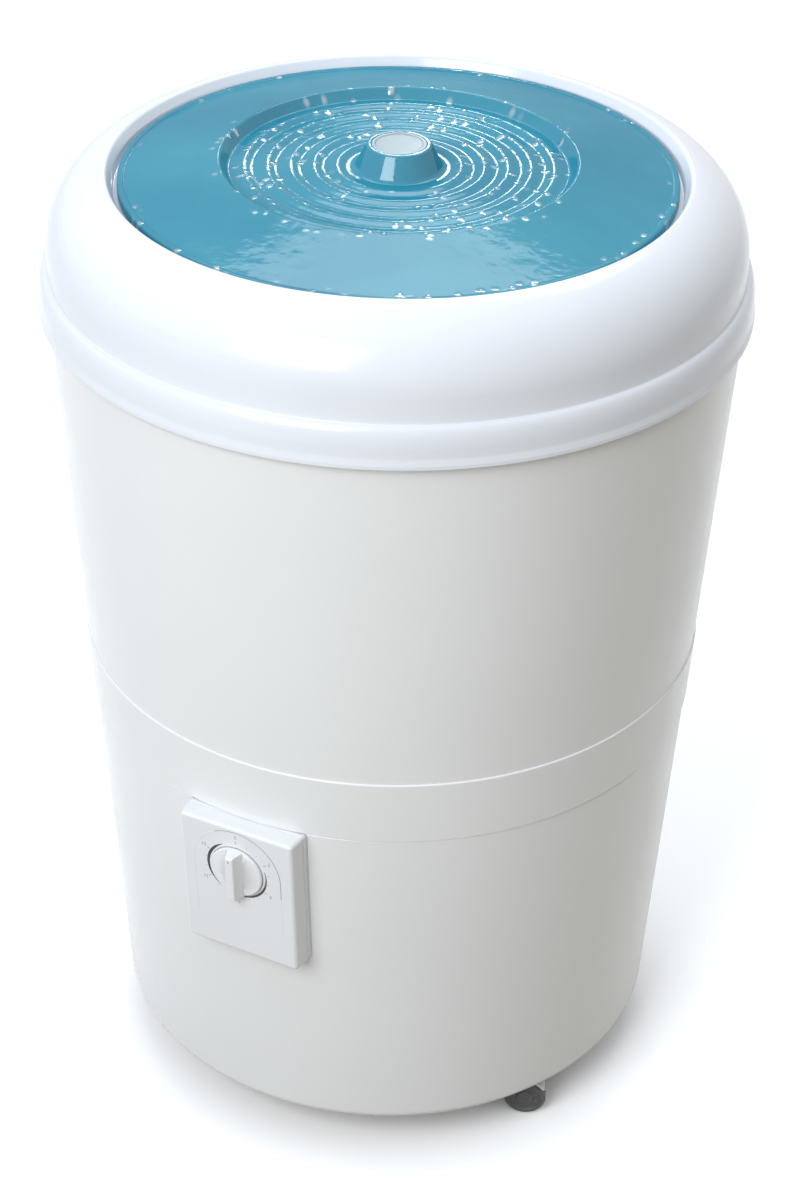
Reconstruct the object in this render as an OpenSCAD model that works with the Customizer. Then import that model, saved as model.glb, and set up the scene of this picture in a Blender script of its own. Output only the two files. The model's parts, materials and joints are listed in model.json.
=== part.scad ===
// Round semi-automatic washing machine: tapered plastic body on three casters, lift-off lid,
// mechanical timer on the front, belt-driven pulsator in the tub. Millimetres, +Z up.
// The origin is on the floor under the body's axis, and the timer panel faces -Y.

/* [Body] */
// Outer radius of the body at its bottom edge
body_r_bottom = 234.5; // [225:0.5:245]
// Outer radius of the body where the top ring begins
body_r_top = 273.5; // [265:0.5:285]
// Height of the body from its bottom edge to the top ring
body_h = 669; // [640:1:700]
// Wall thickness of the moulded shells
wall = 3; // [2.5:0.1:4]
// Radius of the body's bottom corner
corner_r = 10; // [8:0.5:12]
// Width of the lip that turns in under the base
lip_w = 12; // [10:0.5:14]
// Height of the body's bottom edge above the floor
ground_gap = 40; // [38:0.5:50]

/* [Band] */
// Height of the band's lower edge above the body's bottom edge
band_low = 318; // [312:1:324]
// Height of the band
band_h = 57.5; // [50:0.5:64]
// How far the band stands out from the wall
band_proud = 1.2; // [1:0.1:2.5]

/* [Tub] */
// Height of the tub's floor above the band's lower edge
floor_rise = 38; // [35:1:44]
// Thickness of the tub's floor
floor_t = 4; // [3:0.5:5]
// Radius where the floor meets the wall
floor_fillet = 22; // [14:1:24]
// Distance from the body's outside, at the floor, to the edge of the round recess that holds the pulsator
recess_inset = 104.8; // [100:0.4:110]
// Depth of that recess
recess_depth = 12; // [10:0.5:13]
// Radius of the boss round the shaft
hub_boss_r = 46; // [44:0.5:50]
// Height of that boss above the recess
hub_boss_h = 6; // [5:0.5:7]
// Height of the rim's thick part
rim_h = 14; // [8:1:20]
// Gap between the tub's skirt and the band's inside
skirt_gap = 0.3; // [0.2:0.05:0.5]
// How far the skirt steps in behind the band
skirt_inset = 1.5; // [1.2:0.1:1.8]

/* [Top ring] */
// How far the ring's lower edge stands out from the body
ring_overhang = 7.2; // [6.8:0.1:8]
// How far the bead's side lies inside that edge
bead_inset = 1.2; // [0.8:0.1:1.5]
// Width of the bead's rounded top
bead_w = 7.1; // [6.8:0.1:7.6]
// Height where the bead's rounded top begins
bead_z = 15; // [14:0.5:17]
// Height of the bead's rounded top
bead_h = 18; // [17:0.5:20]
// Straight stretch between the bead and the dome
dome_foot = 16; // [12:0.5:18]
// Height of the dome
dome_h = 59; // [54:0.5:64]
// Fullness of the dome's curve
dome_n = 1.95; // [1.7:0.05:2.2]
// Width of the sloping shoulder round the lid
shoulder_w = 7; // [5:0.5:9]
// Height of that shoulder
shoulder_h = 7.5; // [5:0.5:9]
// Width of the ledge that the lid rests on
ledge_w = 9; // [7:0.5:12]
// Depth of the drip skirt inside the ring
drip_h = 14; // [8:1:20]

/* [Lid] */
// Outer radius of the lid
lid_r = 215.6; // [208:0.2:222]
// Gap between the lid and the ring round it
lid_gap = 3.4; // [2:0.2:5]
// Wall thickness of the lid
lid_t = 2.5; // [2:0.1:3.5]
// Height of the lid's down-turned rim
lid_rim_h = 8.3; // [6:0.1:9]
// Width of the flat rim
lid_rim_w = 5; // [4:0.5:7]
// Rise from the rim to the edge of the recess
lid_rise = 13.2; // [8:0.2:18]
// Radius of the recess in the lid
dish_r = 138; // [125:1:150]
// Depth of the recess
dish_depth = 8.5; // [6:0.5:11]
// Width of the recess's sloping wall
dish_wall_w = 9; // [6:0.5:12]
// Number of ripples in the recess
ripples = 5; // [3:1:7]
// Height of a ripple
ripple_h = 1.6; // [0.8:0.1:2.4]
// Radius of the knob at its foot
knob_foot_r = 34; // [30:0.5:40]
// Radius of the knob at its top
knob_top_r = 25; // [22:0.5:28]
// Height of the knob above the recess
knob_h = 19; // [15:0.5:24]
// Radius of the cap in the knob's top
cap_r = 21.4; // [18:0.1:22]
// Thickness of that cap
cap_t = 2.4; // [1.6:0.1:3]

/* [Timer panel] */
// Width of the panel's face
panel_w = 101; // [92:1:106]
// Height of the panel's face
panel_h = 132; // [122:1:138]
// How far the panel stands out at its sides
panel_proud = 17; // [14:0.5:22]
// How much wider the panel is at its back, on each side
panel_draft = 3; // [1:0.5:5]
// Wall thickness of the panel
panel_t = 2.5; // [2:0.1:3.5]
// Height of the dial's centre above the panel's centre
dial_v = 23; // [18:0.5:28]
// Radius of the hole round the timer knob
dial_hole_r = 25.4; // [24.5:0.1:27]
// Radius of the raised arch round the dial
arch_r = 39.3; // [36:0.1:42]
// Height and width of the arch's line
arch_line = 0.6; // [0.4:0.1:1]

/* [Timer] */
// Radius of the timer knob's disc
timer_knob_r = 23.4; // [22:0.1:24]
// Thickness of the timer knob's disc
timer_knob_t = 6; // [4:0.5:8]
// Height of the grip above the disc
grip_h = 10; // [8:0.5:14]
// Width of the grip at its top
grip_top_w = 8; // [6:0.5:10]
// Width of the grip at its foot
grip_foot_w = 14; // [12:0.5:18]
// Radius of the timer's shaft
timer_shaft_r = 3; // [2.5:0.1:4]
// Side of the timer's case
timer_w = 48; // [42:1:50]
// Depth of the timer's case
timer_d = 28; // [22:1:32]
// Radius of the timer's mounting plate
timer_plate_r = 30; // [28:0.5:31]
// Thickness of that plate
timer_plate_t = 2; // [1.5:0.1:2.5]

/* [Drive] */
// Radius of the drive shaft
shaft_r = 6; // [5:0.1:7]
// Outer radius of the shaft's bushes
bush_r = 11; // [9.5:0.1:12]
// Length of each bush
bush_h = 18; // [14:1:22]
// Outer radius of the bearing housing's tube
housing_r = 19; // [17:0.5:21]
// Length of the bearing housing below the tub's floor
housing_h = 78; // [70:1:86]
// Thickness of the bearing housing's flange
flange_t = 6; // [4:0.5:8]
// Thickness of the gasket under the tub
gasket_t = 2; // [1.5:0.1:3]
// Outer radius of the drive pulley
pulley_r = 95; // [85:1:105]
// Outer radius of the motor pulley
motor_pulley_r = 21; // [19:0.5:24]
// Height of both pulleys' rims
pulley_h = 14; // [12:0.5:16]
// Height of the belt
belt_h = 8; // [6:0.5:9]
// Thickness of the belt
belt_t = 5; // [4:0.1:6]
// Height of the belt's middle above the body's bottom edge
belt_z = 213; // [206:1:216]
// Gap between the pulsator and the wall of its recess
pulsator_gap = 12; // [8:0.5:24]
// Height of the pulsator's hub above its edge
pulsator_rise = 13; // [9:0.5:18]
// Thickness of the pulsator's disc
pulsator_t = 4; // [3:0.5:5]
// Number of vanes on the pulsator
vanes = 5; // [4:1:8]
// Height of a vane above the disc
vane_h = 18; // [12:1:26]

/* [Motor] */
// Distance from the drive shaft to the motor's shaft
motor_x = 150; // [142:1:156]
// Outer radius of the motor
motor_r = 60; // [56:1:63]
// Height of the motor's steel core
core_h = 48; // [40:1:54]
// Height of each end cap
cap_h = 24; // [22:0.5:25]
// Radius of the rotor
rotor_r = 34.5; // [32:0.5:36]
// Gap between the rotor and the core
air_gap = 0.5; // [0.4:0.1:1]
// Radius of the motor's shaft
motor_shaft_r = 6; // [5:0.1:7]
// Thickness of the motor's bracket
bracket_t = 3; // [2:0.5:4]
// Distance of the mounting screws from the motor's axis, along X and Y
mount_pitch = 62; // [58:1:64]
// Thickness of a rubber mount above and below the bracket
grommet_t = 3; // [2.5:0.5:4]
// Radius of the capacitor
capacitor_r = 20; // [17:0.5:24]
// Height of the capacitor
capacitor_h = 62; // [50:1:75]

/* [Drain] */
// Distance from the body's outside, at the floor, to the middle of the drain hole
drain_inset = 68.8; // [67:0.2:68.8]
// Radius of the drain hole
drain_r = 16; // [14:0.5:17]
// Outer radius of the drain pipes
pipe_r = 12.5; // [11:0.1:13.5]
// Wall thickness of the drain pipes
pipe_t = 2.5; // [2:0.1:3]
// Depth of the drain cup under the floor
cup_h = 75; // [74:1:80]
// How far the outlet stands out behind the body
spout_reach = 25; // [20:0.5:26]

/* [Base] */
// Thickness of the base plate
plate_t = 3.5; // [3:0.1:5]
// Number of ribs on the base plate
plate_ribs = 12; // [12:1:15]
// Width of the vent slots under the motor
vent_w = 3.8; // [3:0.1:5]

/* [Casters] */
// Distance from the base plate's edge to a caster's stem
caster_inset = 20; // [19:0.5:24]
// Distance of the wheels' axle behind their stem
trail = 12; // [10:0.5:13]
// Radius of a wheel
wheel_r = 18; // [16:0.5:18.5]
// Width of each of a caster's two wheels
wheel_w = 9.6; // [8:0.2:12]
// Thickness of the web between them
web_t = 5; // [4:0.5:7]
// Radius of an axle
axle_r = 2.5; // [2:0.1:3]
// Radius of a stem
stem_r = 4; // [3.5:0.1:4.5]
// Thickness of a caster's hood
hood_t = 2.4; // [1.8:0.1:2.6]
// Angle of the hood's trailing edge above the axle
hood_end = 35; // [20:1:60]
// Direction in which the casters trail, from straight ahead
swivel = 112; // [0:1:180]

/* [Fasteners] */
// Radius of a self-tapping screw
screw_r = 2.1; // [1.9:0.05:2.3]
// Radius of its head
screw_head_r = 3.8; // [3.4:0.1:4.1]
// Height of its head
screw_head_h = 2; // [1.6:0.1:2.4]
// Length of a base screw
base_screw_l = 9; // [7:0.5:10]
// Length of a panel screw
panel_screw_l = 15; // [10:0.5:18]
// Length of a timer screw
timer_screw_l = 7; // [5:0.5:7.5]
// How far a tub screw goes into its post
tub_screw_grip = 20; // [12:1:22]
// How far a hub screw goes into the tub
hub_screw_grip = 7; // [5:0.5:7.5]
// How far a mounting screw goes into the tub
mount_screw_grip = 5; // [4:0.5:5.5]

/* [Hidden] */
$fn = 96;

// Clearances: a running fit in a bore, a press fit, a loose fit round a screw,
// and pieces that only stand near each other
run_gap = 0.05;
press_gap = 0.025;
loose_gap = 0.3;
near_gap = 0.3;
eps = 0.01;

// Colours, as the photograph shows them
shell_white = [0.93, 0.94, 0.95];
lid_teal = [0.36, 0.66, 0.76];
cap_silver = [0.86, 0.9, 0.92];
dark_grey = [0.25, 0.25, 0.25];
black = [0.08, 0.08, 0.08];
steel = [0.62, 0.64, 0.66];
cast_grey = [0.55, 0.56, 0.57];
copper = [0.72, 0.42, 0.22];
bronze = [0.66, 0.52, 0.3];
pulsator_blue = [0.55, 0.75, 0.85];

// The body is a cone: its slope, its lean in degrees and its outer radius at a height above its bottom edge
slope = (body_r_top - body_r_bottom) / body_h;
lean = atan(slope);
function body_r(z) = body_r_bottom + slope * z;
function skirt_r(z) = body_r(z) - skirt_inset;

// Heights above the body's bottom edge
band_top = band_low + band_h;
shoulder_z = band_low + wall;
floor_z = band_low + floor_rise;
recess_z = floor_z - recess_depth;
recess_r = body_r(floor_z) - recess_inset;
boss_top_z = recess_z + hub_boss_h;
under_z = recess_z - floor_t;

// The top ring
ring_lip_r = body_r_top + ring_overhang;
bead_r = ring_lip_r - bead_inset;
groove_r = bead_r - bead_w;
groove_z = body_h + bead_z + bead_h;
rim_z = groove_z - wall;
rim_out_r = groove_r - 0.6;
rim_in_r = groove_r - 2.7;
rim_bevel = 6;
dome_z = groove_z + dome_foot;
dome_a = groove_r - lid_r;
crest_r = lid_r + lid_gap + shoulder_w;
function dome_point(c, a, b) =
    [lid_r + a * pow(c, 2 / dome_n), dome_z + b * pow(sqrt(1 - c * c), 2 / dome_n)];
crest_c = pow(lid_gap / dome_a + shoulder_w / dome_a, dome_n / 2);
crest_z = dome_point(crest_c, dome_a, dome_h)[1];
seat_z = crest_z - shoulder_h - lid_rim_h + 1.8;

// The lid
dish_edge_z = seat_z + lid_rim_h + lid_rise;
dish_z = dish_edge_z - dish_depth;
dish_floor_r = dish_r - dish_wall_w;
knob_round = 5;
ripple_start = knob_foot_r + knob_round;
function ripple_z(r) =
    dish_z + ripple_h / 2 * (1 - cos(360 * ripples * (dish_floor_r - r) / (dish_floor_r - ripple_start)));
knob_top_z = dish_z + knob_h;

// The timer panel: its centre and the distance of its face from the body's axis at that height
panel_z = band_low - near_gap - panel_h / 2 * cos(lean);
panel_face_y = sqrt(pow(body_r(panel_z), 2) - pow(panel_w / 2, 2)) + panel_proud + 5;
panel_depth = panel_proud + 16;
panel_screw_x = panel_w / 2 - 9;
panel_screw_v = panel_h / 2 - 9;
panel_post_d = (panel_face_y - sqrt(pow(body_r(panel_z), 2) - pow(panel_screw_x, 2))) * cos(lean);
timer_screw_x = timer_plate_r + 4;
timer_boss_h = 6;
timer_back = -panel_t - timer_plate_t;
timer_tab = -panel_t - timer_boss_h - timer_plate_t;

// The drive
housing_low_z = under_z - gasket_t - housing_h;
flange_z = under_z - gasket_t - flange_t;
pulsator_edge_z = boss_top_z + 1 - pulsator_t;
pulsator_r = recess_r - pulsator_gap;
pulsator_hub_r = 26;
pulsator_top_z = pulsator_edge_z + pulsator_t + pulsator_rise;
shaft_top_z = pulsator_top_z - 4;
shaft_low_z = belt_z - 23;
shaft_step_z = belt_z + pulley_h - 2;
shaft_end_r = shaft_r - 1;
pulley_hub_r = 3 * shaft_r;
pulley_hub_low = belt_z - pulley_h;
nut_h = 7;
hub_pcd_r = housing_r + (hub_boss_r - housing_r) * 0.58;
groove_depth = belt_t + 1;
belt_in_r = pulley_r - groove_depth + near_gap;
belt_in_r2 = motor_pulley_r - groove_depth + near_gap;

// The motor hangs under its bracket, which hangs under the tub
mount_low_z = under_z - 4;
bracket_z = mount_low_z - grommet_t - bracket_t;
cap_wall = 4;
core_z = bracket_z - cap_h - core_h;
motor_low_z = core_z - cap_h;
tub_rib_h = 14;
bolt_r = 2.4;
bolt_pitch = (motor_r - 6) * sqrt(0.5);
motor_bush_h = 12;
capacitor_x = -125;
clip_foot = capacitor_r + 9;
clip_t = 1.2;
boss_reach = 6;

// The drain
drain_y = body_r(floor_z) - drain_inset;
sump_z = floor_z - floor_t;
pipe_z = sump_z - cup_h + pipe_r + 7;
cup_r = drain_r + 4;
spout_wall_y = body_r(pipe_z);
cup_pipe = 16;
hose_overlap = 11;
hose_y = drain_y + cup_r + cup_pipe - hose_overlap;
spout_y = drain_y + cup_r + cup_pipe + 3;

// The base plate and the cord's inlet
plate_r = body_r(corner_r) - corner_r - 2;
lip_r = plate_r + 2 - lip_w;
base_screw_r = (lip_r + plate_r) / 2 + 0.4;
base_screw_count = 6;
base_boss_h = 12;
plate_ring_r = 52;
plate_rib_h = 12;
rib_t = 3;
tub_screw_r = body_r(shoulder_z) - wall - 9;
ear_h = 10;
gland_angle = 60;
gland_z = 60;
gland_r = 9;
cord_r = 3.6;

// The casters
caster_r = plate_r - caster_inset;
axle_z = -ground_gap + wheel_r;
hood_in_r = wheel_r + 0.8;
hood_out_r = hood_in_r + hood_t;
wheel_in = web_t / 2 + near_gap;
hood_w = 2 * (wheel_in + wheel_w + near_gap);
axle_l = 2 * (wheel_in + wheel_w - 2);
axle_boss_r = axle_r + 4.5;
neck_top_z = wall - 2;
stem_flange_t = 1.6;
socket_h = 27;
stem_low_z = axle_z + sqrt(pow(hood_in_r, 2) - pow(trail - stem_r, 2)) + 0.3;
caster_angles = [-30, 90, 210];

// The body's outer cone, grown by a gap, which seats what is fixed to the wall
module body_cone(gap)
    translate([0, 0, -50])
        cylinder(h = body_h + 50, r1 = body_r(-50) + gap, r2 = body_r(body_h) + gap, $fn = 180);

// Placing

module raise() translate([0, 0, ground_gap]) children();

// A ring or tube by its outer and inner radius, from z1 to z2
module tube(r_out, r_in, z1, z2)
    translate([0, 0, z1])
        difference() {
            cylinder(h = z2 - z1, r = r_out);
            translate([0, 0, -1]) cylinder(h = z2 - z1 + 2, r = r_in);
        }

// The local frame of the panel's face: X to the right, Y up along it, Z out of it
module on_face() translate([0, -panel_face_y, panel_z]) rotate([90 + lean, 0, 0]) children();

module at_dial() on_face() translate([0, dial_v, 0]) children();

module at_motor() translate([motor_x, 0, 0]) children();

// The capacitor's place on the base plate, with its clip's foot towards the axis
module at_capacitor() translate([capacitor_x, 0, wall + plate_t]) rotate(90) children();

module at_mounts()
    for (sx = [-1, 1], sy = [-1, 1])
        translate([sx * mount_pitch, sy * mount_pitch, 0]) children();

module at_bolts()
    for (sx = [-1, 1], sy = [-1, 1])
        translate([sx * bolt_pitch, sy * bolt_pitch, 0]) children();

module at_panel_screws()
    for (sx = [-1, 1], sy = [-1, 1])
        translate([sx * panel_screw_x, sy * panel_screw_v, 0]) children();

module at_timer_screws()
    for (sx = [-1, 1])
        translate([sx * timer_screw_x, 0, 0]) children();

module at_hub_screws()
    for (a = [45:90:359])
        rotate(a) translate([hub_pcd_r, 0, 0]) children();

module at_base_screws()
    for (i = [0:base_screw_count - 1])
        rotate(i * 360 / base_screw_count) translate([base_screw_r, 0, 0]) children();

module at_tub_screws()
    for (a = [45:90:359])
        rotate(a) translate([tub_screw_r, 0, 0]) children();

module at_caster(i)
    rotate(caster_angles[i]) translate([caster_r, 0, 0]) rotate(swivel - caster_angles[i]) children();

// A round-headed screw that points up from its head's underside at the origin
module screw_up(length, r = screw_r - 0.15, head_r = screw_head_r, head_h = screw_head_h) {
    translate([0, 0, -eps]) cylinder(h = length + eps, r = r, $fn = 32);
    translate([0, 0, -head_h]) cylinder(h = head_h, r = head_r, $fn = 32);
}

// A round-cornered rectangle in the plane
module rounded_square(w, h, r)
    hull()
        for (sx = [-1, 1], sy = [-1, 1])
            translate([sx * (w / 2 - r), sy * (h / 2 - r)]) circle(r = r, $fn = 32);

// Lower half of the body

module base_shell() color(shell_white) raise() {
    in_corner = corner_r - wall;
    corner_x = body_r(corner_r) - corner_r;
    difference() {
        union() {
            rotate_extrude($fn = 180)
                polygon(concat(
                    [[lip_r, 0]],
                    [for (a = [-90:10:0]) [corner_x + corner_r * cos(a), corner_r + corner_r * sin(a)]],
                    [[body_r(band_low), band_low],
                     [body_r(band_low) + band_proud - 0.6, band_low],
                     [body_r(band_low) + band_proud, band_low + 0.8],
                     [body_r(band_top) + band_proud, band_top - 1.8],
                     [body_r(band_top) + band_proud - 0.4, band_top - 0.6],
                     [body_r(band_top) + band_proud - 1, band_top],
                     [skirt_r(band_top) + skirt_gap, band_top],
                     [skirt_r(shoulder_z) + skirt_gap, shoulder_z],
                     [skirt_r(shoulder_z) - wall, shoulder_z],
                     [body_r(shoulder_z - 8) - wall, shoulder_z - 8]],
                    [for (a = [0:-15:-90]) [corner_x + in_corner * cos(a), corner_r + in_corner * sin(a)]],
                    [[lip_r, wall]]));
            at_tub_screws() base_ear();
        }
        at_tub_screws() translate([0, 0, shoulder_z - 2 * ear_h])
            cylinder(h = 3 * ear_h, r = screw_r + loose_gap, $fn = 32);
        at_base_screws() translate([0, 0, -1]) cylinder(h = wall + 2, r = screw_r + loose_gap, $fn = 32);
        at_dial() translate([0, 0, -panel_depth])
            linear_extrude(panel_depth) square([timer_w + 6, timer_w + 6], center = true);
        on_face() at_panel_screws() translate([0, 0, -panel_depth])
            cylinder(h = panel_depth, r = screw_r + loose_gap, $fn = 32);
        translate([0, spout_wall_y - 12, pipe_z]) rotate([-90, 0, 0])
            cylinder(h = 24, r = pipe_r + loose_gap);
        rotate(gland_angle) translate([body_r(gland_z) - 12, 0, gland_z])
            rotate([0, 90, 0]) cylinder(h = 24, r = gland_r + loose_gap);
    }
}

// An ear inside the wall that a tub screw passes through
module base_ear()
    translate([0, 0, shoulder_z - ear_h]) {
        cylinder(h = ear_h, r = 7, $fn = 32);
        translate([0, -7, 0]) cube([8 + wall / 2, 14, ear_h]);
    }

module base_plate() color(shell_white) raise() {
    difference() {
        union() {
            translate([0, 0, wall]) cylinder(h = plate_t, r = plate_r, $fn = 180);
            at_base_screws() translate([0, 0, wall + eps]) cylinder(h = base_boss_h, r = 3.4, $fn = 32);
            for (i = [0:2]) at_caster(i) translate([0, 0, wall + eps])
                cylinder(h = plate_t + socket_h, r = stem_r + 5, $fn = 48);
            tube(plate_ring_r, plate_ring_r - rib_t, wall + plate_t - eps, wall + plate_t + plate_rib_h);
            for (i = [0:plate_ribs - 1]) rotate((i + 0.5) * 360 / plate_ribs)
                translate([plate_ring_r - 2, -rib_t / 2, wall + plate_t - eps])
                    cube([caster_r - 14 - plate_ring_r, rib_t, plate_rib_h]);
        }
        at_base_screws() translate([0, 0, -1]) cylinder(h = base_boss_h, r = screw_r - 0.1, $fn = 32);
        for (i = [0:2]) at_caster(i) translate([0, 0, -1])
            cylinder(h = wall + plate_t + socket_h - 1, r = stem_r + run_gap, $fn = 48);
        for (i = [-2:2]) rotate(i * 360 / plate_ribs)
            translate([motor_x - motor_r, -vent_w / 2, 0]) cube([motor_r, vent_w, 20]);
        at_capacitor() translate([0, -clip_foot, -20]) cylinder(h = 40, r = screw_r - 0.1, $fn = 32);
    }
}

module base_screws() color(steel) raise()
    at_base_screws() screw_up(base_screw_l);

// Upper half of the body

module tub() color(shell_white) raise() {
    floor_edge_r = body_r(floor_z + floor_fillet) - wall - floor_fillet;
    difference() {
        union() {
            rotate_extrude($fn = 180)
                polygon(concat(
                    [[skirt_r(shoulder_z), shoulder_z],
                     [skirt_r(band_top), band_top + skirt_gap],
                     [body_r(band_top), band_top + skirt_gap],
                     [body_r(rim_z - rim_bevel), rim_z - rim_bevel],
                     [rim_out_r, rim_z],
                     [rim_in_r, rim_z],
                     [rim_in_r, rim_z - rim_h],
                     [body_r(rim_z - rim_h - wall) - wall, rim_z - rim_h - wall]],
                    [for (a = [0:-15:-90]) [floor_edge_r + floor_fillet * cos(a),
                        floor_z + floor_fillet + floor_fillet * sin(a)]],
                    [[recess_r + 8, floor_z],
                     [recess_r, recess_z],
                     [hub_boss_r, recess_z],
                     [hub_boss_r, boss_top_z],
                     [housing_r + loose_gap, boss_top_z],
                     [housing_r + loose_gap, under_z],
                     [recess_r + 3, under_z],
                     [recess_r + 11, floor_z - floor_t],
                     [skirt_r(floor_z - floor_t) - wall, floor_z - floor_t],
                     [skirt_r(shoulder_z) - wall, shoulder_z]]));
            at_motor() at_mounts()
                translate([0, 0, mount_low_z]) cylinder(h = recess_z - 1 - mount_low_z, r = 9, $fn = 48);
            at_motor() translate([mount_pitch, 0, 0]) for (sy = [-1, 1])
                translate([0, sy * mount_pitch, mount_low_z])
                    cylinder(h = floor_z - 1 - mount_low_z, r = 9, $fn = 48);
            at_tub_screws() tub_boss();
            for (a = [15:30:359]) rotate(a)
                translate([recess_r + 12, -rib_t / 2, floor_z - floor_t - tub_rib_h])
                    cube([tub_screw_r - recess_r - 24, rib_t, tub_rib_h + eps]);
        }
        translate([0, drain_y, floor_z - floor_t - 1]) cylinder(h = floor_t + 2, r = drain_r);
        at_tub_screws() translate([0, 0, shoulder_z - 1]) cylinder(h = 24, r = screw_r - 0.1, $fn = 32);
        at_motor() at_mounts() translate([0, 0, mount_low_z - 1])
            cylinder(h = 7, r = screw_r - 0.1, $fn = 32);
        at_hub_screws() translate([0, 0, under_z - 1]) cylinder(h = 9, r = screw_r - 0.1, $fn = 32);
    }
}

// A post inside the tub's skirt that takes a tub screw, with a web that follows the wall's slope
module tub_boss() {
    h = floor_z - floor_t - shoulder_z + eps;
    web = 9 - skirt_inset + wall / 2;
    translate([0, 0, shoulder_z]) {
        cylinder(h = h, r = 5.5, $fn = 32);
        translate([0, rib_t / 2, 0]) rotate([90, 0, 0]) linear_extrude(rib_t)
            polygon([[0, 0], [web, 0], [web + slope * h, h], [0, h]]);
    }
}

module tub_screws() color(steel) raise()
    at_tub_screws() translate([0, 0, shoulder_z - ear_h]) screw_up(ear_h + tub_screw_grip);

module top_ring() color(shell_white) raise() {
    inner_wall_r = lid_r + lid_gap;
    ledge_r = inner_wall_r - ledge_w - lid_gap;
    rotate_extrude($fn = 180)
        polygon(concat(
            [[ring_lip_r, body_h], [ring_lip_r, body_h + 2]],
            [[bead_r + 0.3, body_h + 6], [bead_r, body_h + 11]],
            [for (a = [0:7.5:90]) [groove_r + bead_w * cos(a), body_h + bead_z + bead_h * sin(a)]],
            [for (a = [0:4:90]) if (cos(a) > crest_c) dome_point(cos(a), dome_a, dome_h)],
            [[crest_r, crest_z - 0.2],
             [crest_r - 2, crest_z - 1],
             [inner_wall_r + 0.8, crest_z - shoulder_h],
             [inner_wall_r, crest_z - shoulder_h - 1.2],
             [inner_wall_r, seat_z],
             [ledge_r + 1, seat_z],
             [ledge_r, seat_z - 1],
             [ledge_r, seat_z - drip_h],
             [ledge_r + wall - 0.5, seat_z - drip_h],
             [ledge_r + wall, seat_z - wall],
             [inner_wall_r + wall, seat_z - wall],
             [inner_wall_r + wall, crest_z - shoulder_h - wall]],
            [for (a = [90:-4:0]) if (cos(a) > crest_c) dome_point(cos(a), dome_a - wall, dome_h - wall)],
            [[groove_r - wall, rim_z]],
            [for (a = [90:-7.5:0]) [groove_r + (bead_w - wall) * cos(a),
                body_h + bead_z + (bead_h - wall) * sin(a)]],
            [[bead_r - wall, body_h]]));
}

// The lift-off lid

module lid() color(lid_teal, 0.75) raise() {
    step = (dish_floor_r - ripple_start) / (8 * ripples);
    knob_in = lid_t + 0.4;
    rise_r = lid_r - lid_rim_w;
    rim_top = seat_z + lid_rim_h;
    upper = concat(
        [[0, knob_top_z - cap_t], [cap_r + 0.1, knob_top_z - cap_t], [cap_r + 0.1, knob_top_z - 0.3]],
        [for (a = [90:-18:0]) [knob_top_r - 2 + 2 * cos(a), knob_top_z - 2.3 + 2 * sin(a)]],
        [for (a = [180:15:270]) [knob_foot_r + knob_round + knob_round * cos(a),
            dish_z + knob_round + knob_round * sin(a)]],
        [for (i = [1:8 * ripples]) let (r = ripple_start + i * step) [r, ripple_z(r)]],
        [[dish_floor_r + 2, dish_z + 0.6], [dish_r - 3, dish_edge_z - 1.6], [dish_r - 1, dish_edge_z - 0.3],
         [dish_r + 1.5, dish_edge_z]],
        [[rise_r, rim_top - 0.6], [rise_r + 0.8, rim_top]],
        [for (a = [90:-18:0]) [lid_r - 2 + 2 * cos(a), rim_top - 2 + 2 * sin(a)]]);
    under = concat(
        [[lid_r, seat_z], [lid_r - lid_t, seat_z], [lid_r - lid_t, rim_top - lid_t]],
        [[rise_r, rim_top - lid_t - 0.6], [dish_r + 1.5, dish_edge_z - lid_t],
         [dish_r - 0.5, dish_edge_z - lid_t]],
        [[dish_floor_r + 3, dish_z - lid_t]],
        [[knob_foot_r + 2, dish_z - lid_t], [knob_foot_r - lid_t, dish_z + 1],
         [knob_top_r - knob_in, knob_top_z - cap_t - lid_t], [0, knob_top_z - cap_t - lid_t]]);
    rotate_extrude($fn = 180) polygon(concat(upper, under));
}

module knob_cap() color(cap_silver) raise()
    rotate_extrude()
        polygon([[0, knob_top_z - cap_t], [cap_r, knob_top_z - cap_t], [cap_r, knob_top_z - 0.6],
            [cap_r - 0.6, knob_top_z], [cap_r - 3, knob_top_z], [cap_r - 3.8, knob_top_z - 0.5],
            [0, knob_top_z - 0.5]]);

// The timer and its panel

// The panel's outer form: drafted at its sides and foot, with rounded edges round its face
module panel_block() {
    back_w = panel_w + 2 * panel_draft;
    back_h = panel_h + panel_draft - panel_depth * tan(lean);
    hull() {
        translate([0, (back_h - panel_h) / 2 - panel_draft, -panel_depth]) linear_extrude(1)
            rounded_square(back_w, back_h, 3);
        translate([0, 0, -2.5]) linear_extrude(1) rounded_square(panel_w, panel_h, 3);
        translate([0, 0, -0.5]) linear_extrude(0.5) rounded_square(panel_w - 3, panel_h - 3, 2);
    }
}

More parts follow.
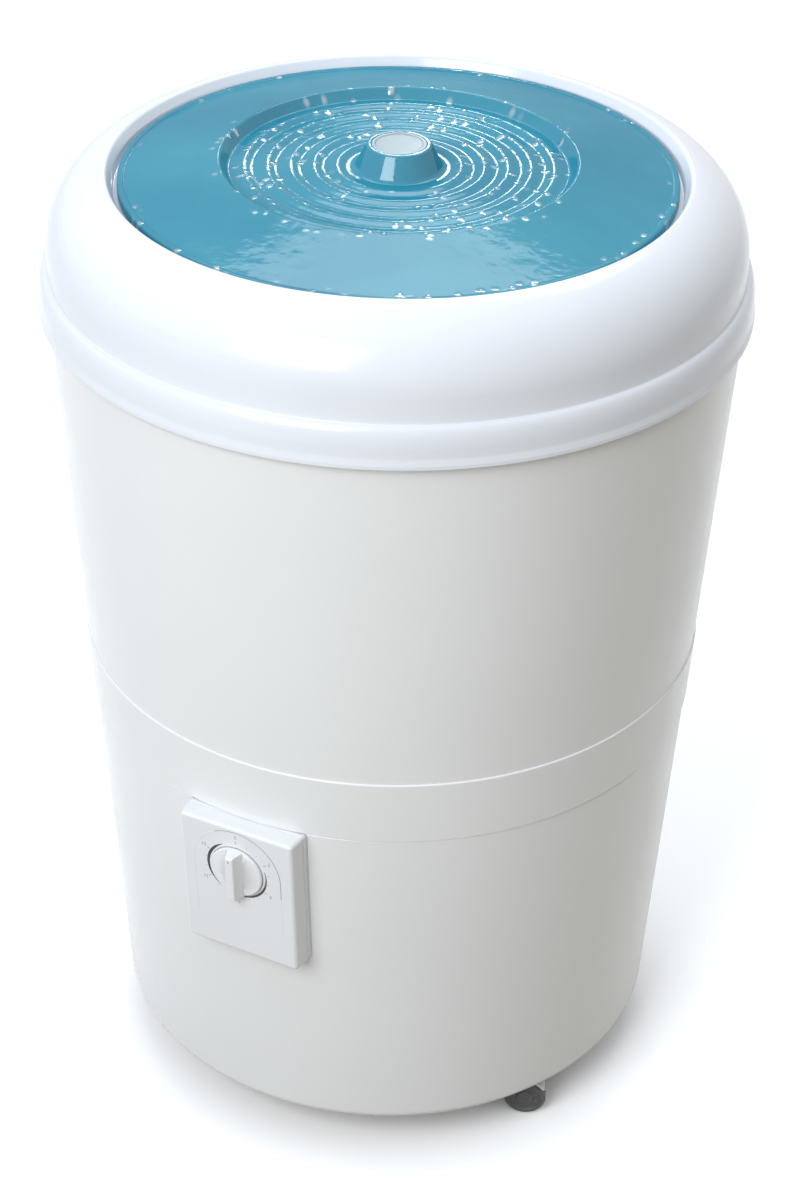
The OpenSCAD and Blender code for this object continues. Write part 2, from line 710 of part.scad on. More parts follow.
module control_panel() color(shell_white) raise()
    difference() {
        on_face() union() {
            difference() {
                panel_block();
                translate([0, -panel_t / 2, -panel_depth - 1]) linear_extrude(panel_depth + 1 - panel_t)
                    square([panel_w - 2 * panel_t, panel_h - 3 * panel_t], center = true);
            }
            at_panel_screws() translate([0, 0, -panel_depth])
                cylinder(h = panel_depth - 1, r = 4.5, $fn = 32);
            translate([0, dial_v, 0]) at_timer_screws()
                translate([0, 0, -panel_t - timer_boss_h])
                    cylinder(h = timer_boss_h + eps, r = 3.2, $fn = 32);
            translate([0, dial_v, -eps]) arch();
        }
        at_dial() translate([0, 0, -10]) cylinder(h = 20, r = dial_hole_r);
        at_dial() at_timer_screws() translate([0, 0, -panel_t - 8])
            cylinder(h = 8, r = screw_r - 0.1, $fn = 32);
        on_face() at_panel_screws() translate([0, 0, -panel_depth - 1])
            cylinder(h = panel_depth - 7, r = screw_r - 0.1, $fn = 32);
        body_cone(near_gap);
    }

// The raised line that arches over the dial and runs down both sides of it
module arch() {
    leg = dial_v + panel_h / 2 - 34;
    difference() {
        cylinder(h = arch_line, r = arch_r + arch_line / 2);
        translate([0, 0, -1]) cylinder(h = arch_line + 2, r = arch_r - arch_line / 2);
        translate([-arch_r - 2, -2 * arch_r, -1]) cube([2 * arch_r + 4, 2 * arch_r, arch_line + 2]);
    }
    for (sx = [-1, 1])
        translate([sx * arch_r - arch_line / 2, -leg, 0]) cube([arch_line, leg, arch_line]);
}

module panel_screws() color(steel) raise()
    on_face() at_panel_screws() translate([0, 0, -panel_post_d - wall - 0.8])
        screw_up(panel_screw_l);

module timer_plate() color(black) raise()
    at_dial() difference() {
        union() {
            tube(timer_plate_r, timer_shaft_r + 2, timer_back, -panel_t);
            for (sx = [-1, 1]) {
                translate([sx * (timer_plate_r - 2) - 1, -4.5, timer_tab]) cube([2, 9, timer_boss_h + eps]);
                translate([sx * (timer_screw_x + 1) - 4, -4.5, timer_tab]) cube([8, 9, timer_plate_t]);
                translate([sx * (timer_plate_r - 1) - 2, -4.5, timer_tab]) cube([4, 9, timer_plate_t]);
            }
        }
        at_timer_screws() translate([0, 0, timer_tab - 1])
            cylinder(h = 4, r = screw_r + loose_gap, $fn = 32);
    }

module timer_screws() color(steel) raise()
    at_dial() at_timer_screws() translate([0, 0, timer_tab]) screw_up(timer_screw_l);

module timer_body() color(dark_grey) raise()
    at_dial() difference() {
        union() {
            translate([0, 0, timer_back - timer_d]) linear_extrude(timer_d)
                rounded_square(timer_w, timer_w, 4);
            for (i = [-2:2]) translate([i * 8 - 2, -timer_w / 2 + 8, timer_back - timer_d - 7])
                cube([4, 0.8, 8]);
        }
        translate([0, 0, timer_back - 12]) cylinder(h = 20, r = timer_shaft_r + run_gap, $fn = 48);
    }

module timer_shaft() color(steel) raise()
    at_dial() difference() {
        translate([0, 0, timer_back - 11.5])
            cylinder(h = 11.5 - timer_back + timer_knob_t - 3, r = timer_shaft_r, $fn = 48);
        translate([-timer_shaft_r, timer_shaft_r * 0.6, 0]) cube([2 * timer_shaft_r, timer_shaft_r, 20]);
    }

module timer_knob() color(shell_white) raise()
    at_dial() difference() {
        union() {
            rotate_extrude()
                polygon([[0, -1.5], [timer_knob_r, -1.5], [timer_knob_r, timer_knob_t - 4.5],
                    [timer_knob_r - 0.6, timer_knob_t - 3.4], [timer_knob_r - 2, timer_knob_t - 3],
                    [0, timer_knob_t - 2]]);
            grip();
        }
        translate([0, 0, -2]) cylinder(h = timer_knob_t - 0.95, r = timer_shaft_r + run_gap, $fn = 48);
    }

// The grip across the knob, narrower at its top, with ends that follow the disc
module grip()
    intersection() {
        hull() {
            translate([0, 0, timer_knob_t - 4]) linear_extrude(1)
                square([grip_foot_w, 2 * timer_knob_r], center = true);
            translate([0, 0, timer_knob_t - 3 + grip_h - 1.6]) linear_extrude(0.6)
                square([grip_top_w, 2 * timer_knob_r], center = true);
            translate([0, 0, timer_knob_t - 3 + grip_h - 1]) linear_extrude(1)
                square([grip_top_w - 2, 2 * timer_knob_r - 3], center = true);
        }
        cylinder(h = 40, r1 = timer_knob_r + 0.4, r2 = timer_knob_r - 4);
    }

// The pulsator and its shaft

module pulsator() color(pulsator_blue) raise()
    difference() {
        union() {
            rotate_extrude($fn = 120)
                polygon([[0, pulsator_edge_z + pulsator_t], [hub_boss_r + 3, pulsator_edge_z + pulsator_t],
                    [hub_boss_r + 6, pulsator_edge_z], [pulsator_r, pulsator_edge_z],
                    [pulsator_r, pulsator_edge_z + pulsator_t - 1],
                    [pulsator_r - 1, pulsator_edge_z + pulsator_t],
                    [pulsator_hub_r + 16, pulsator_edge_z + pulsator_t + pulsator_rise * 0.4],
                    [pulsator_hub_r, pulsator_top_z - 3], [pulsator_hub_r - 4, pulsator_top_z],
                    [0, pulsator_top_z]]);
            for (i = [0:vanes - 1]) rotate(i * 360 / vanes) vane();
        }
        translate([0, 0, pulsator_edge_z - 1])
            cylinder(h = shaft_top_z - pulsator_edge_z + 1, r = shaft_r + run_gap, $fn = 48);
        translate([0, 0, pulsator_edge_z - 1]) cylinder(h = pulsator_t + 1, r = hub_boss_r + 3);
        translate([0, 0, pulsator_edge_z]) cylinder(h = 40, r = screw_r + 1.2, $fn = 32);
        translate([0, 0, pulsator_top_z - 1]) cylinder(h = 10, r = 12);
    }

// One vane, round on top and lower towards the pulsator's edge
module vane()
    intersection() {
        translate([pulsator_hub_r - 6, 0, pulsator_edge_z + pulsator_t - 1])
            rotate([90, 0, 90]) linear_extrude(pulsator_r - pulsator_hub_r - 4)
                polygon([[-9, 0], [-5, vane_h * 0.55], [-2.5, vane_h * 0.92], [0, vane_h],
                    [2.5, vane_h * 0.92],
                    [5, vane_h * 0.55], [9, 0]]);
        translate([0, 0, pulsator_edge_z])
            cylinder(h = vane_h + pulsator_t + 6, r1 = pulsator_r + 12, r2 = pulsator_r * 0.66);
    }

module pulsator_screw() color(steel) raise()
    difference() {
        union() {
            translate([0, 0, shaft_top_z - 14])
                cylinder(h = pulsator_top_z - shaft_top_z + 13, r = screw_r + 0.9, $fn = 32);
            translate([0, 0, pulsator_top_z - 1]) cylinder(h = 1.5, r = 11.5);
            translate([0, 0, pulsator_top_z + 0.4]) cylinder(h = 4, r = 7);
        }
        translate([-5, -0.8, pulsator_top_z + 3]) cube([10, 1.6, 3]);
    }

module drive_shaft() color(steel) raise()
    difference() {
        union() {
            translate([0, 0, shaft_step_z]) cylinder(h = shaft_top_z - shaft_step_z, r = shaft_r);
            translate([0, 0, shaft_low_z]) cylinder(h = shaft_step_z - shaft_low_z + eps, r = shaft_end_r);
        }
        translate([0, 0, shaft_top_z - 15]) cylinder(h = 16, r = screw_r + 1, $fn = 32);
    }

module shaft_collar() color(steel) raise()
    tube(shaft_r + 6, shaft_r + run_gap, housing_low_z - 6.5, housing_low_z - 0.5);

module shaft_seal() color(black) raise()
    tube(bush_r, shaft_r + run_gap, boss_top_z - 5, boss_top_z);

module upper_bush() color(bronze) raise()
    tube(bush_r, shaft_r + run_gap, boss_top_z - 5 - bush_h, boss_top_z - 5);

module lower_bush() color(bronze) raise()
    tube(bush_r, shaft_r + run_gap, housing_low_z, housing_low_z + bush_h);

module bearing_housing() color(cast_grey) raise()
    difference() {
        union() {
            tube(housing_r, bush_r, housing_low_z, boss_top_z);
            tube(hub_boss_r, housing_r - 1, flange_z, flange_z + flange_t);
            for (a = [0:90:359]) rotate(a) translate([housing_r - 1, -2, flange_z - 22])
                rotate([90, 0, 0]) mirror([0, 0, 1]) linear_extrude(4)
                    polygon([[0, 0], [0, 22.5], [hub_boss_r - housing_r - 2, 22.5]]);
        }
        at_hub_screws() translate([0, 0, flange_z - 1])
            cylinder(h = flange_t + 2, r = screw_r + loose_gap, $fn = 32);
    }

module hub_gasket() color(black) raise()
    difference() {
        tube(hub_boss_r, housing_r + loose_gap, under_z - gasket_t, under_z);
        at_hub_screws() translate([0, 0, under_z - 10]) cylinder(h = 20, r = screw_r + loose_gap, $fn = 32);
    }

module hub_screws() color(steel) raise()
    at_hub_screws() translate([0, 0, flange_z]) screw_up(flange_t + gasket_t + hub_screw_grip);

// A belt pulley with a groove for the belt, from the shaft's axis outwards
module pulley_rim(r_out, r_in)
    rotate_extrude($fn = 120)
        polygon([[r_in, belt_z - pulley_h / 2], [r_out, belt_z - pulley_h / 2],
            [r_out, belt_z - belt_h / 2 - 1.6],
            [r_out - groove_depth, belt_z - belt_h / 2 - near_gap],
            [r_out - groove_depth, belt_z + belt_h / 2 + near_gap],
            [r_out, belt_z + belt_h / 2 + 1.6], [r_out, belt_z + pulley_h / 2],
            [r_in, belt_z + pulley_h / 2]]);

module drive_pulley() color(black) raise() {
    rim_in = pulley_r - groove_depth - 4;
    web_w = rim_in - pulley_hub_r;
    pulley_rim(pulley_r, rim_in);
    tube(pulley_hub_r, shaft_end_r + run_gap, pulley_hub_low, shaft_step_z);
    difference() {
        tube(rim_in + eps, pulley_hub_r - 1, belt_z - 2, belt_z + 2);
        for (a = [0:60:359]) rotate(a) translate([pulley_hub_r + web_w / 2, 0, belt_z - 5])
            cylinder(h = 10, r = web_w * 0.36);
    }
    for (a = [30:60:359]) rotate(a) translate([pulley_hub_r - 1, -rib_t / 2, belt_z - pulley_h / 2 + 1])
        cube([web_w + 1.5, rib_t, pulley_h - 2]);
}

module pulley_nut() color(steel) raise()
    difference() {
        translate([0, 0, pulley_hub_low - nut_h]) cylinder(h = nut_h, r = 2 * shaft_end_r, $fn = 6);
        translate([0, 0, pulley_hub_low - nut_h - 1]) cylinder(h = nut_h + 2, r = shaft_end_r + run_gap);
    }

module drive_belt() color(dark_grey) raise()
    translate([0, 0, belt_z - belt_h / 2])
        linear_extrude(belt_h)
            difference() {
                hull() {
                    circle(r = belt_in_r + belt_t, $fn = 120);
                    translate([motor_x, 0]) circle(r = belt_in_r2 + belt_t, $fn = 60);
                }
                hull() {
                    circle(r = belt_in_r, $fn = 120);
                    translate([motor_x, 0]) circle(r = belt_in_r2, $fn = 60);
                }
            }

// The motor

module motor_pulley() color(steel) raise() at_motor() {
    pulley_rim(motor_pulley_r, motor_shaft_r + run_gap);
    tube(12, motor_shaft_r + run_gap, belt_z + pulley_h / 2 - eps, belt_z + pulley_h / 2 + 5);
}

module motor_rotor() color(steel) raise() at_motor() {
    translate([0, 0, core_z]) cylinder(h = core_h, r = rotor_r);
    translate([0, 0, belt_z - 10]) cylinder(h = bracket_z - 1 - belt_z + 10, r = motor_shaft_r);
}

module motor_stator() color(cast_grey) raise() at_motor()
    difference() {
        tube(motor_r, rotor_r + air_gap, core_z, core_z + core_h);
        at_bolts() translate([0, 0, core_z - 1]) cylinder(h = core_h + 2, r = bolt_r + loose_gap, $fn = 32);
    }

module motor_windings() color(copper) raise() at_motor() {
    for (z = [core_z - 14, core_z + core_h])
        tube(motor_r - 12, rotor_r + 3, z, z + 14);
}

// An end cap, open towards the core, with a boss for its bush; it is drawn with its closed end down
module end_cap()
    difference() {
        union() {
            tube(motor_r, motor_r - cap_wall, 0, cap_h);
            tube(motor_r - 1, bush_r, 0, cap_wall);
            tube(bush_r + 4, bush_r, -boss_reach, 8);
            at_bolts() cylinder(h = cap_h, r = bolt_r + 2.6, $fn = 32);
        }
        at_bolts() translate([0, 0, -1]) cylinder(h = cap_h + 2, r = bolt_r + loose_gap, $fn = 32);
        for (a = [0:30:359]) rotate(a + 15) translate([bush_r + 12, 0, -1])
            cylinder(h = cap_wall + 2, r = 3.5, $fn = 32);
    }

module motor_bottom_cap() color(cast_grey) raise() at_motor()
    translate([0, 0, motor_low_z]) end_cap();

module motor_top_cap() color(cast_grey) raise() at_motor()
    translate([0, 0, bracket_z]) mirror([0, 0, 1])
        difference() {
            end_cap();
            translate([0, 0, -20]) cylinder(h = 20, r = motor_r);
        }

module motor_bushes() color(bronze) raise() at_motor() {
    tube(bush_r, motor_shaft_r + run_gap, motor_low_z - boss_reach,
        motor_low_z - boss_reach + motor_bush_h);
    tube(bush_r, motor_shaft_r + run_gap, bracket_z - 8, bracket_z);
}

module motor_bolts() color(steel) raise() at_motor()
    at_bolts() {
        translate([0, 0, motor_low_z]) screw_up(bracket_z + bracket_t + 3.5 - motor_low_z, bolt_r, 4.6, 3);
        tube(4.4, bolt_r - eps, bracket_z + bracket_t, bracket_z + bracket_t + 3);
    }

module motor_bracket() color(steel) raise() at_motor()
    difference() {
        translate([0, 0, bracket_z]) linear_extrude(bracket_t)
            rounded_square(2 * mount_pitch + 26, 2 * mount_pitch + 26, 12);
        translate([0, 0, bracket_z - 1]) cylinder(h = bracket_t + 2, r = 18);
        at_bolts() translate([0, 0, bracket_z - 1])
            cylinder(h = bracket_t + 2, r = bolt_r + loose_gap, $fn = 32);
        at_mounts() translate([0, 0, bracket_z - 1]) cylinder(h = bracket_t + 2, r = 6, $fn = 48);
    }

module motor_grommets() color(black) raise() at_motor()
    at_mounts() {
        tube(9, 3, bracket_z - grommet_t, bracket_z);
        tube(6 - eps, 3, bracket_z - eps, bracket_z + bracket_t + eps);
        tube(9, 3, bracket_z + bracket_t, bracket_z + bracket_t + grommet_t);
    }

module mount_screws() color(steel) raise() at_motor()
    at_mounts() translate([0, 0, bracket_z - grommet_t])
        screw_up(bracket_t + 2 * grommet_t + mount_screw_grip, head_r = 6);

module capacitor() color(dark_grey) raise()
    at_capacitor() {
        rotate_extrude()
            polygon([[0, 0], [capacitor_r - 1, 0], [capacitor_r, 1], [capacitor_r, capacitor_h - 2],
                [capacitor_r - 2, capacitor_h], [0, capacitor_h]]);
        for (sx = [-1, 1]) translate([sx * 6 - 2.4, -0.4, capacitor_h - eps]) cube([4.8, 0.8, 8]);
    }

module capacitor_clip() color(steel) raise()
    at_capacitor() {
        clip_in = capacitor_r + 0.1;
        tube(clip_in + clip_t, clip_in, 20, 34);
        difference() {
            translate([-6, -clip_foot - 5, 0]) cube([12, clip_foot + 5 - clip_in, clip_t]);
            translate([0, -clip_foot, -1]) cylinder(h = 4, r = screw_r + loose_gap, $fn = 32);
        }
        translate([-6, -clip_in - clip_t, 0]) cube([12, clip_t - 0.1, 22]);
    }

module clip_screw() color(steel) raise()
    at_capacitor() translate([0, -clip_foot, clip_t]) mirror([0, 0, 1]) screw_up(clip_t + plate_t - 0.3);

// The drain and the cord's inlet

module drain_grille() color(pulsator_blue) raise()
    translate([0, drain_y, floor_z]) difference() {
        union() {
            rotate_extrude()
                polygon([[0, 0], [drain_r + 6, 0], [drain_r + 6, 1], [drain_r + 3, 3.2], [0, 4]]);
            tube(drain_r - 0.2, drain_r - 2.2, -floor_t - 2, eps);
        }
        for (i = [-3:3]) translate([i * 4.2 - 1.1, -sqrt(pow(drain_r - 3, 2) - pow(i * 4.2, 2)), -1])
            cube([2.2, 2 * sqrt(pow(drain_r - 3, 2) - pow(i * 4.2, 2)), 6]);
    }

module drain_sump() color(shell_white) raise() {
    cup_low = sump_z - cup_h;
    difference() {
        union() {
            translate([0, drain_y, 0]) {
                translate([0, 0, sump_z - 4]) cylinder(h = 4, r = cup_r + 3);
                translate([0, 0, cup_low]) cylinder(h = cup_h, r = cup_r);
            }
            translate([0, drain_y, pipe_z]) rotate([-90, 0, 0]) cylinder(h = cup_r + cup_pipe, r = pipe_r);
        }
        translate([0, drain_y, cup_low + wall]) cylinder(h = cup_h, r = cup_r - wall);
        translate([0, drain_y, pipe_z]) rotate([-90, 0, 0])
            cylinder(h = cup_r + cup_pipe + 1, r = pipe_r - pipe_t);
    }
}

// The drain pipes' axis, from a distance y behind the body's axis
module at_pipe(y) translate([0, y, pipe_z]) rotate([-90, 0, 0]) children();

module drain_hose() color(black) raise()
    at_pipe(hose_y) tube(pipe_r + 3, pipe_r + run_gap, 0, spout_y + hose_overlap - hose_y);

module outlet_spout() color(shell_white) raise() {
    spout_l = spout_wall_y + spout_reach - spout_y;
    difference() {
        union() {
            at_pipe(spout_y) cylinder(h = spout_l, r = pipe_r);
            difference() {
                at_pipe(spout_wall_y - 4) cylinder(h = 8, r = pipe_r + 7);
                body_cone(near_gap);
            }
        }
        at_pipe(spout_y - 1) cylinder(h = spout_l + 2, r = pipe_r - pipe_t);
    }
}

module cord_gland() color(dark_grey) raise()
    rotate(gland_angle) translate([body_r(gland_z), 0, gland_z]) rotate([0, 90 + lean, 0])
        rotate_extrude()
            polygon([[cord_r, -12], [gland_r + 3, -12], [gland_r + 3, -wall - 1.5],
                [gland_r, -wall - 1.5], [gland_r, 0.6],
                [gland_r + 4, 0.6], [gland_r + 4, 3], [gland_r - 2, 4.5], [cord_r + 2, 20], [cord_r, 20]]);

// The casters. Each is drawn with its stem on the Z axis and its two wheels trailing towards -Y.

// Draws a flat shape round the axle, its X towards +Y and its Y up, to a width along the axle
module along_axle(w) translate([-w / 2, -trail, axle_z]) rotate([90, 0, 90]) linear_extrude(w) children();

module at_axle() translate([0, -trail, axle_z]) rotate([0, 90, 0]) children();

// The hood's outline: a disc that is cut level in front and along a slope at its trailing side
module hood_outline()
    intersection() {
        circle(r = hood_out_r);
        polygon([[0, 0], [-50 * cos(hood_end), 50 * sin(hood_end)], [-50, 80], [50, 80], [50, 0]]);
    }

module hood() color(shell_white)
    difference() {
        union() {
            along_axle(hood_w) hood_outline();
            along_axle(web_t) circle(r = axle_boss_r);
            translate([0, 0, axle_z + 6]) cylinder(h = neck_top_z - axle_z - 6, r = stem_r + 3.5);
        }
        for (side = [0, 1]) mirror([side, 0, 0]) at_axle()
            translate([0, 0, web_t / 2]) cylinder(h = hood_w, r = hood_in_r);
        at_axle() translate([0, 0, -web_t]) cylinder(h = 2 * web_t, r = axle_r + run_gap, $fn = 32);
        translate([0, 0, stem_low_z]) cylinder(h = 40, r = stem_r + press_gap, $fn = 48);
    }

module stem() color(steel) {
    translate([0, 0, stem_low_z])
        cylinder(h = wall + plate_t + socket_h - 4 - stem_low_z, r = stem_r, $fn = 48);
    translate([0, 0, neck_top_z]) cylinder(h = stem_flange_t, r = stem_r + 2.5, $fn = 48);
}

module axle() color(steel)
    at_axle() translate([0, 0, -axle_l / 2]) cylinder(h = axle_l, r = axle_r, $fn = 32);

// A wheel with its inner side open round the hub and a blind bore for the axle
module wheel()
    at_axle() translate([0, 0, wheel_in]) rotate_extrude()
        polygon([[axle_r + press_gap, 0], [axle_r + 4, 0], [axle_r + 4.5, wheel_w - 3.6],
            [wheel_r - 4.5, wheel_w - 3.6],
            [wheel_r - 4, 0], [wheel_r - 1.5, 0], [wheel_r, 1.5], [wheel_r, wheel_w - 2],
            [wheel_r - 2, wheel_w],
            [wheel_r - 4.5, wheel_w], [wheel_r - 5.5, wheel_w - 1.2], [axle_r + 5.5, wheel_w - 1.2],
            [axle_r + 4.5, wheel_w],
            [0, wheel_w], [0, wheel_w - 1.5], [axle_r + press_gap, wheel_w - 1.5]]);

module wheels() color(dark_grey) {
    wheel();
    mirror([1, 0, 0]) wheel();
}

base_shell();
base_plate();
base_screws();
tub();
tub_screws();
top_ring();
lid();
knob_cap();
control_panel();
panel_screws();
timer_body();
timer_plate();
timer_screws();
timer_shaft();
timer_knob();
pulsator();
pulsator_screw();
drive_shaft();
shaft_collar();
shaft_seal();
upper_bush();
lower_bush();
bearing_housing();
hub_gasket();
hub_screws();
drive_pulley();
pulley_nut();
drive_belt();
motor_pulley();
motor_rotor();
motor_stator();
motor_windings();
motor_top_cap();
motor_bottom_cap();
motor_bushes();
motor_bolts();
motor_bracket();
motor_grommets();
mount_screws();
capacitor();
capacitor_clip();
clip_screw();
drain_grille();
drain_sump();
drain_hose();
outlet_spout();
cord_gland();
raise() at_caster(0) hood();  // caster_hood_1
raise() at_caster(1) hood();  // caster_hood_2
raise() at_caster(2) hood();  // caster_hood_3
raise() at_caster(0) stem();  // caster_stem_1
raise() at_caster(1) stem();  // caster_stem_2
raise() at_caster(2) stem();  // caster_stem_3
raise() at_caster(0) axle();  // caster_axle_1
raise() at_caster(1) axle();  // caster_axle_2
raise() at_caster(2) axle();  // caster_axle_3
raise() at_caster(0) wheels();  // caster_wheels_1
raise() at_caster(1) wheels();  // caster_wheels_2
raise() at_caster(2) wheels();  // caster_wheels_3
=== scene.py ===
"""The looks of the round washing machine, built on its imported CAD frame.

Shells and knobs are lathed or shaped here in fine meshes that stand for the CAD nodes. Outlines are
written in millimetres, as radius and height above the body's bottom edge, and are raised by
GROUND_GAP when they are made. A corner of an outline is (radius, height) or (radius, height,
fillet).
"""

import json
import math

import bmesh
import bpy
from mathutils import Matrix, Vector


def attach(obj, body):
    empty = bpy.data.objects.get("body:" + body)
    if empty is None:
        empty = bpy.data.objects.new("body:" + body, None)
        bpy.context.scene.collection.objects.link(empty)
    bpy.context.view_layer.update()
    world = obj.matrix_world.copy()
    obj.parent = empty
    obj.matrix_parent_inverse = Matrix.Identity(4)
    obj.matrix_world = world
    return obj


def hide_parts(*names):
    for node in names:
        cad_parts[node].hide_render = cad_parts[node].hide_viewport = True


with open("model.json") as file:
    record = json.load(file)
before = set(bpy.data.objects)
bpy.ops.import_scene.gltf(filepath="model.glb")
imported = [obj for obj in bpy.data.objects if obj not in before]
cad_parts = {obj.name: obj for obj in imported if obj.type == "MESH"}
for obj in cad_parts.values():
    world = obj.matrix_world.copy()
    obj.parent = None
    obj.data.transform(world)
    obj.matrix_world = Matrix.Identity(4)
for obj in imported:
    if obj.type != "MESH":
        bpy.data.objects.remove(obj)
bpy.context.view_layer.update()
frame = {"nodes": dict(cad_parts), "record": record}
MM = 0.001

# Driving sizes of the body, in millimetres
GROUND_GAP = 40.0
BODY_R_BOTTOM = 234.5
BODY_R_TOP = 273.5
BODY_H = 669.0
WALL = 3.0
CORNER_R = 10.0
LIP_W = 12.0
WALL_START = 40.0
BAND_LOW = 318.0
BAND_H = 57.5
BAND_PROUD = 1.2
BAND_SEAT_H = 5.0
SKIRT_INSET = 1.5
FIT = 0.3
SLOPE = (BODY_R_TOP - BODY_R_BOTTOM) / BODY_H
LEAN = math.atan(SLOPE)

# The fine line under the band: its depth, its height and the height of its sloping edge
LINE_DEPTH = 0.7
LINE_H = 1.2
LINE_EDGE_H = 2.0

# The tub
FLOOR_Z = 356.0
FLOOR_T = 4.0
FLOOR_FILLET = 22.0
RECESS_INSET = 104.8
RECESS_Z = 344.0
RECESS_SLOPE_W = 8.0
HUB_BOSS_R = 46.0
HUB_BOSS_Z = 350.0
HUB_SLOPE_W = 2.0
HOUSING_R = 19.3
RIM_H = 14.0
RIM_W = 2.1
RIM_STEP = 0.6
RIM_BEVEL_H = 6.0

# The top ring
RING_LIP_R = BODY_R_TOP + 7.2
RING_LIP_H = 3.5
RING_NECK_H = 8.5
BEAD_R = RING_LIP_R - 1.2
BEAD_W = 7.1
BEAD_Z = BODY_H + 15.0
BEAD_H = 18.0
DOME_FOOT = 16.0
DOME_H = 59.0
DOME_N = 1.95
DOME_START = 4
DOME_SHORT = 3
LID_R = 215.6
LID_GAP = 3.4
SHOULDER_W = 7.0
SHOULDER_H = 7.5
LEDGE_W = 9.0
DRIP_H = 14.0

# The lid
LID_T = 2.5
LID_RIM_H = 8.3
LID_RIM_W = 5.0
LID_RISE = 13.2
LID_SUNK = 1.8
LID_CLEAR = 0.2
LID_STEP_H = 0.8
DISH_R = 138.0
DISH_DEPTH = 8.5
DISH_WALL_W = 9.0
RIPPLES = 5
RIPPLE_H = 1.6
RIPPLE_STEPS = 14
KNOB_FOOT_R = 34.0
KNOB_ROUND = 5.0
KNOB_TOP_R = 25.0
KNOB_H = 19.0
CAP_R = 21.4
CAP_T = 2.4
CAP_EDGE_W = 2.6
CAP_DIP_W = 3.6
CAP_LIFT = 0.05

# The timer panel
PANEL_W = 101.0
PANEL_H = 132.0
PANEL_PROUD = 17.0
PANEL_BULGE = 5.0
PANEL_TAIL = 16.0
PANEL_DEPTH = PANEL_PROUD + PANEL_TAIL
PANEL_DRAFT = 3.0
PANEL_T = 2.5
FACE_FILLET = 3.0
CORNER_FILLET = 3.0
FILLET_STEPS = 5
SEAT_GAP = 0.3
SEAT_HALVINGS = 30

# The seam round the panel's side: its height above the wall, width, depth and edge
SEAM_UP = 5.0
SEAM_W = 1.0
SEAM_DEPTH = 0.9
SEAM_EDGE = 0.3

# The dial, its print and its painted shade; the arch and the crescents of painted shade count
# degrees from the dial's right side
DIAL_V = 23.0
DIAL_HOLE_R = 25.4
LIP_TOP = -0.1
LIP_FOOT = -0.9
LIP_COUNT = 144
# Lowest and highest heights of the print and of the painted shade crescents about the dial's face
PRINT_AND_SHADE_HEIGHTS = (-0.05, 0.06)
PRINT_T = 0.05
SHADE_CRESCENT_R = 26.3
ARCH_R = 39.3
ARCH_LEG = 22.0
ARCH_TOP = 118.0
ARCH_STOP = 34.0
ARCH_STEP = 3
ARCH_W = 0.6
ARCH_H = 0.25
ARCH_FOOT = -0.2
# Each painted shade crescent's first angle, last angle, angle where it is widest, and width there
SHADE_CRESCENTS = ((118.0, 232.0, 150.0, 2.3), (-92.0, 18.0, -45.0, 1.8))
SHADE_CRESCENT_TIP = 0.12
SHADE_CRESCENT_STEPS = 40
MARKS = 16
MARK_TURN = 20
NUMBER_EVERY = 3
TICK_R = 28.0
# Each kind of tick's outer radius and half its width
TICK_LONG = (30.6, 0.3)
TICK_SHORT = (29.4, 0.2)
NUMBER_R = 34.2
NUMBER_SIZE = 4.6

# The timer knob: a disc with a straight grip across it
TIMER_KNOB_R = 23.4
TIMER_KNOB_T = 6.0
KNOB_SUNK = 3.0
KNOB_BACK = -1.5
GRIP_H = 10.0
GRIP_TOP_W = 8.0
GRIP_FOOT_W = 14.0
GRIP_ROUND = 1.8
# The mark on the grip: half its width, and its two ends' distances in from the knob's edge
GRIP_MARK = (0.5, 5.6, 3.4)

# Numbers of sides in the lathed meshes
SHELL_SIDES = 288
CAP_SIDES = 96
KNOB_SIDES = 128
NORMAL_WEIGHT = 80

# Colours, as linear red, green and blue
OFF = (0, 0, 0)
ON = (1, 1, 1)
WHITE = (0.82, 0.84, 0.845)
# The ring's white is painted shade: a darker, bluer copy of the body's white plastic
RING_WHITE_SHADED = (0.75, 0.785, 0.84)
PANEL_WHITE = (0.80, 0.82, 0.84)
TEAL_DEEP = (0.014, 0.25, 0.385)
TEAL_PALE = (0.042, 0.345, 0.475)

# The lid's gloss: its share of mirror light, the beads' added share, and beads to the metre
LID_GLOSS = 0.055
BEAD_GLOSS = 0.5
BEADS_PER_METRE = 105.0
BEAD_RIM_W = 7.0

# The camera stands where the photograph's did: fitted to the outlines of the photo
PHOTO_H = 1199.0
FOCAL_PX = 2633.2
SENSOR = 36.0
AZIMUTH = math.radians(26.56)
CAMERA_DISTANCE = 1.8686
CAMERA_HEIGHT = 1.6453
PITCH = math.radians(33.303)
SIDE_AIM = math.radians(-0.117)
ROLL = math.radians(0.97)

# The studio: floor colours, and each side's sky as low colour, high colour and where it starts
FLOOR_COLOUR = (0.9, 0.9, 0.9)
FLOOR_LIFT = (0.22, 0.22, 0.22)
FLOOR_BOUNCE = (0.19, 0.155, 0.105)
FLOOR_HALF = 6.0
SKY_LEFT = ((0.72, 0.76, 0.82), (0.60, 0.64, 0.70), 0.0)
SKY_RIGHT = ((0.39, 0.35, 0.285), (1.05, 1.11, 1.19), 0.35)
SKY_TOP = 0.85
SKY_TURN = 0.7

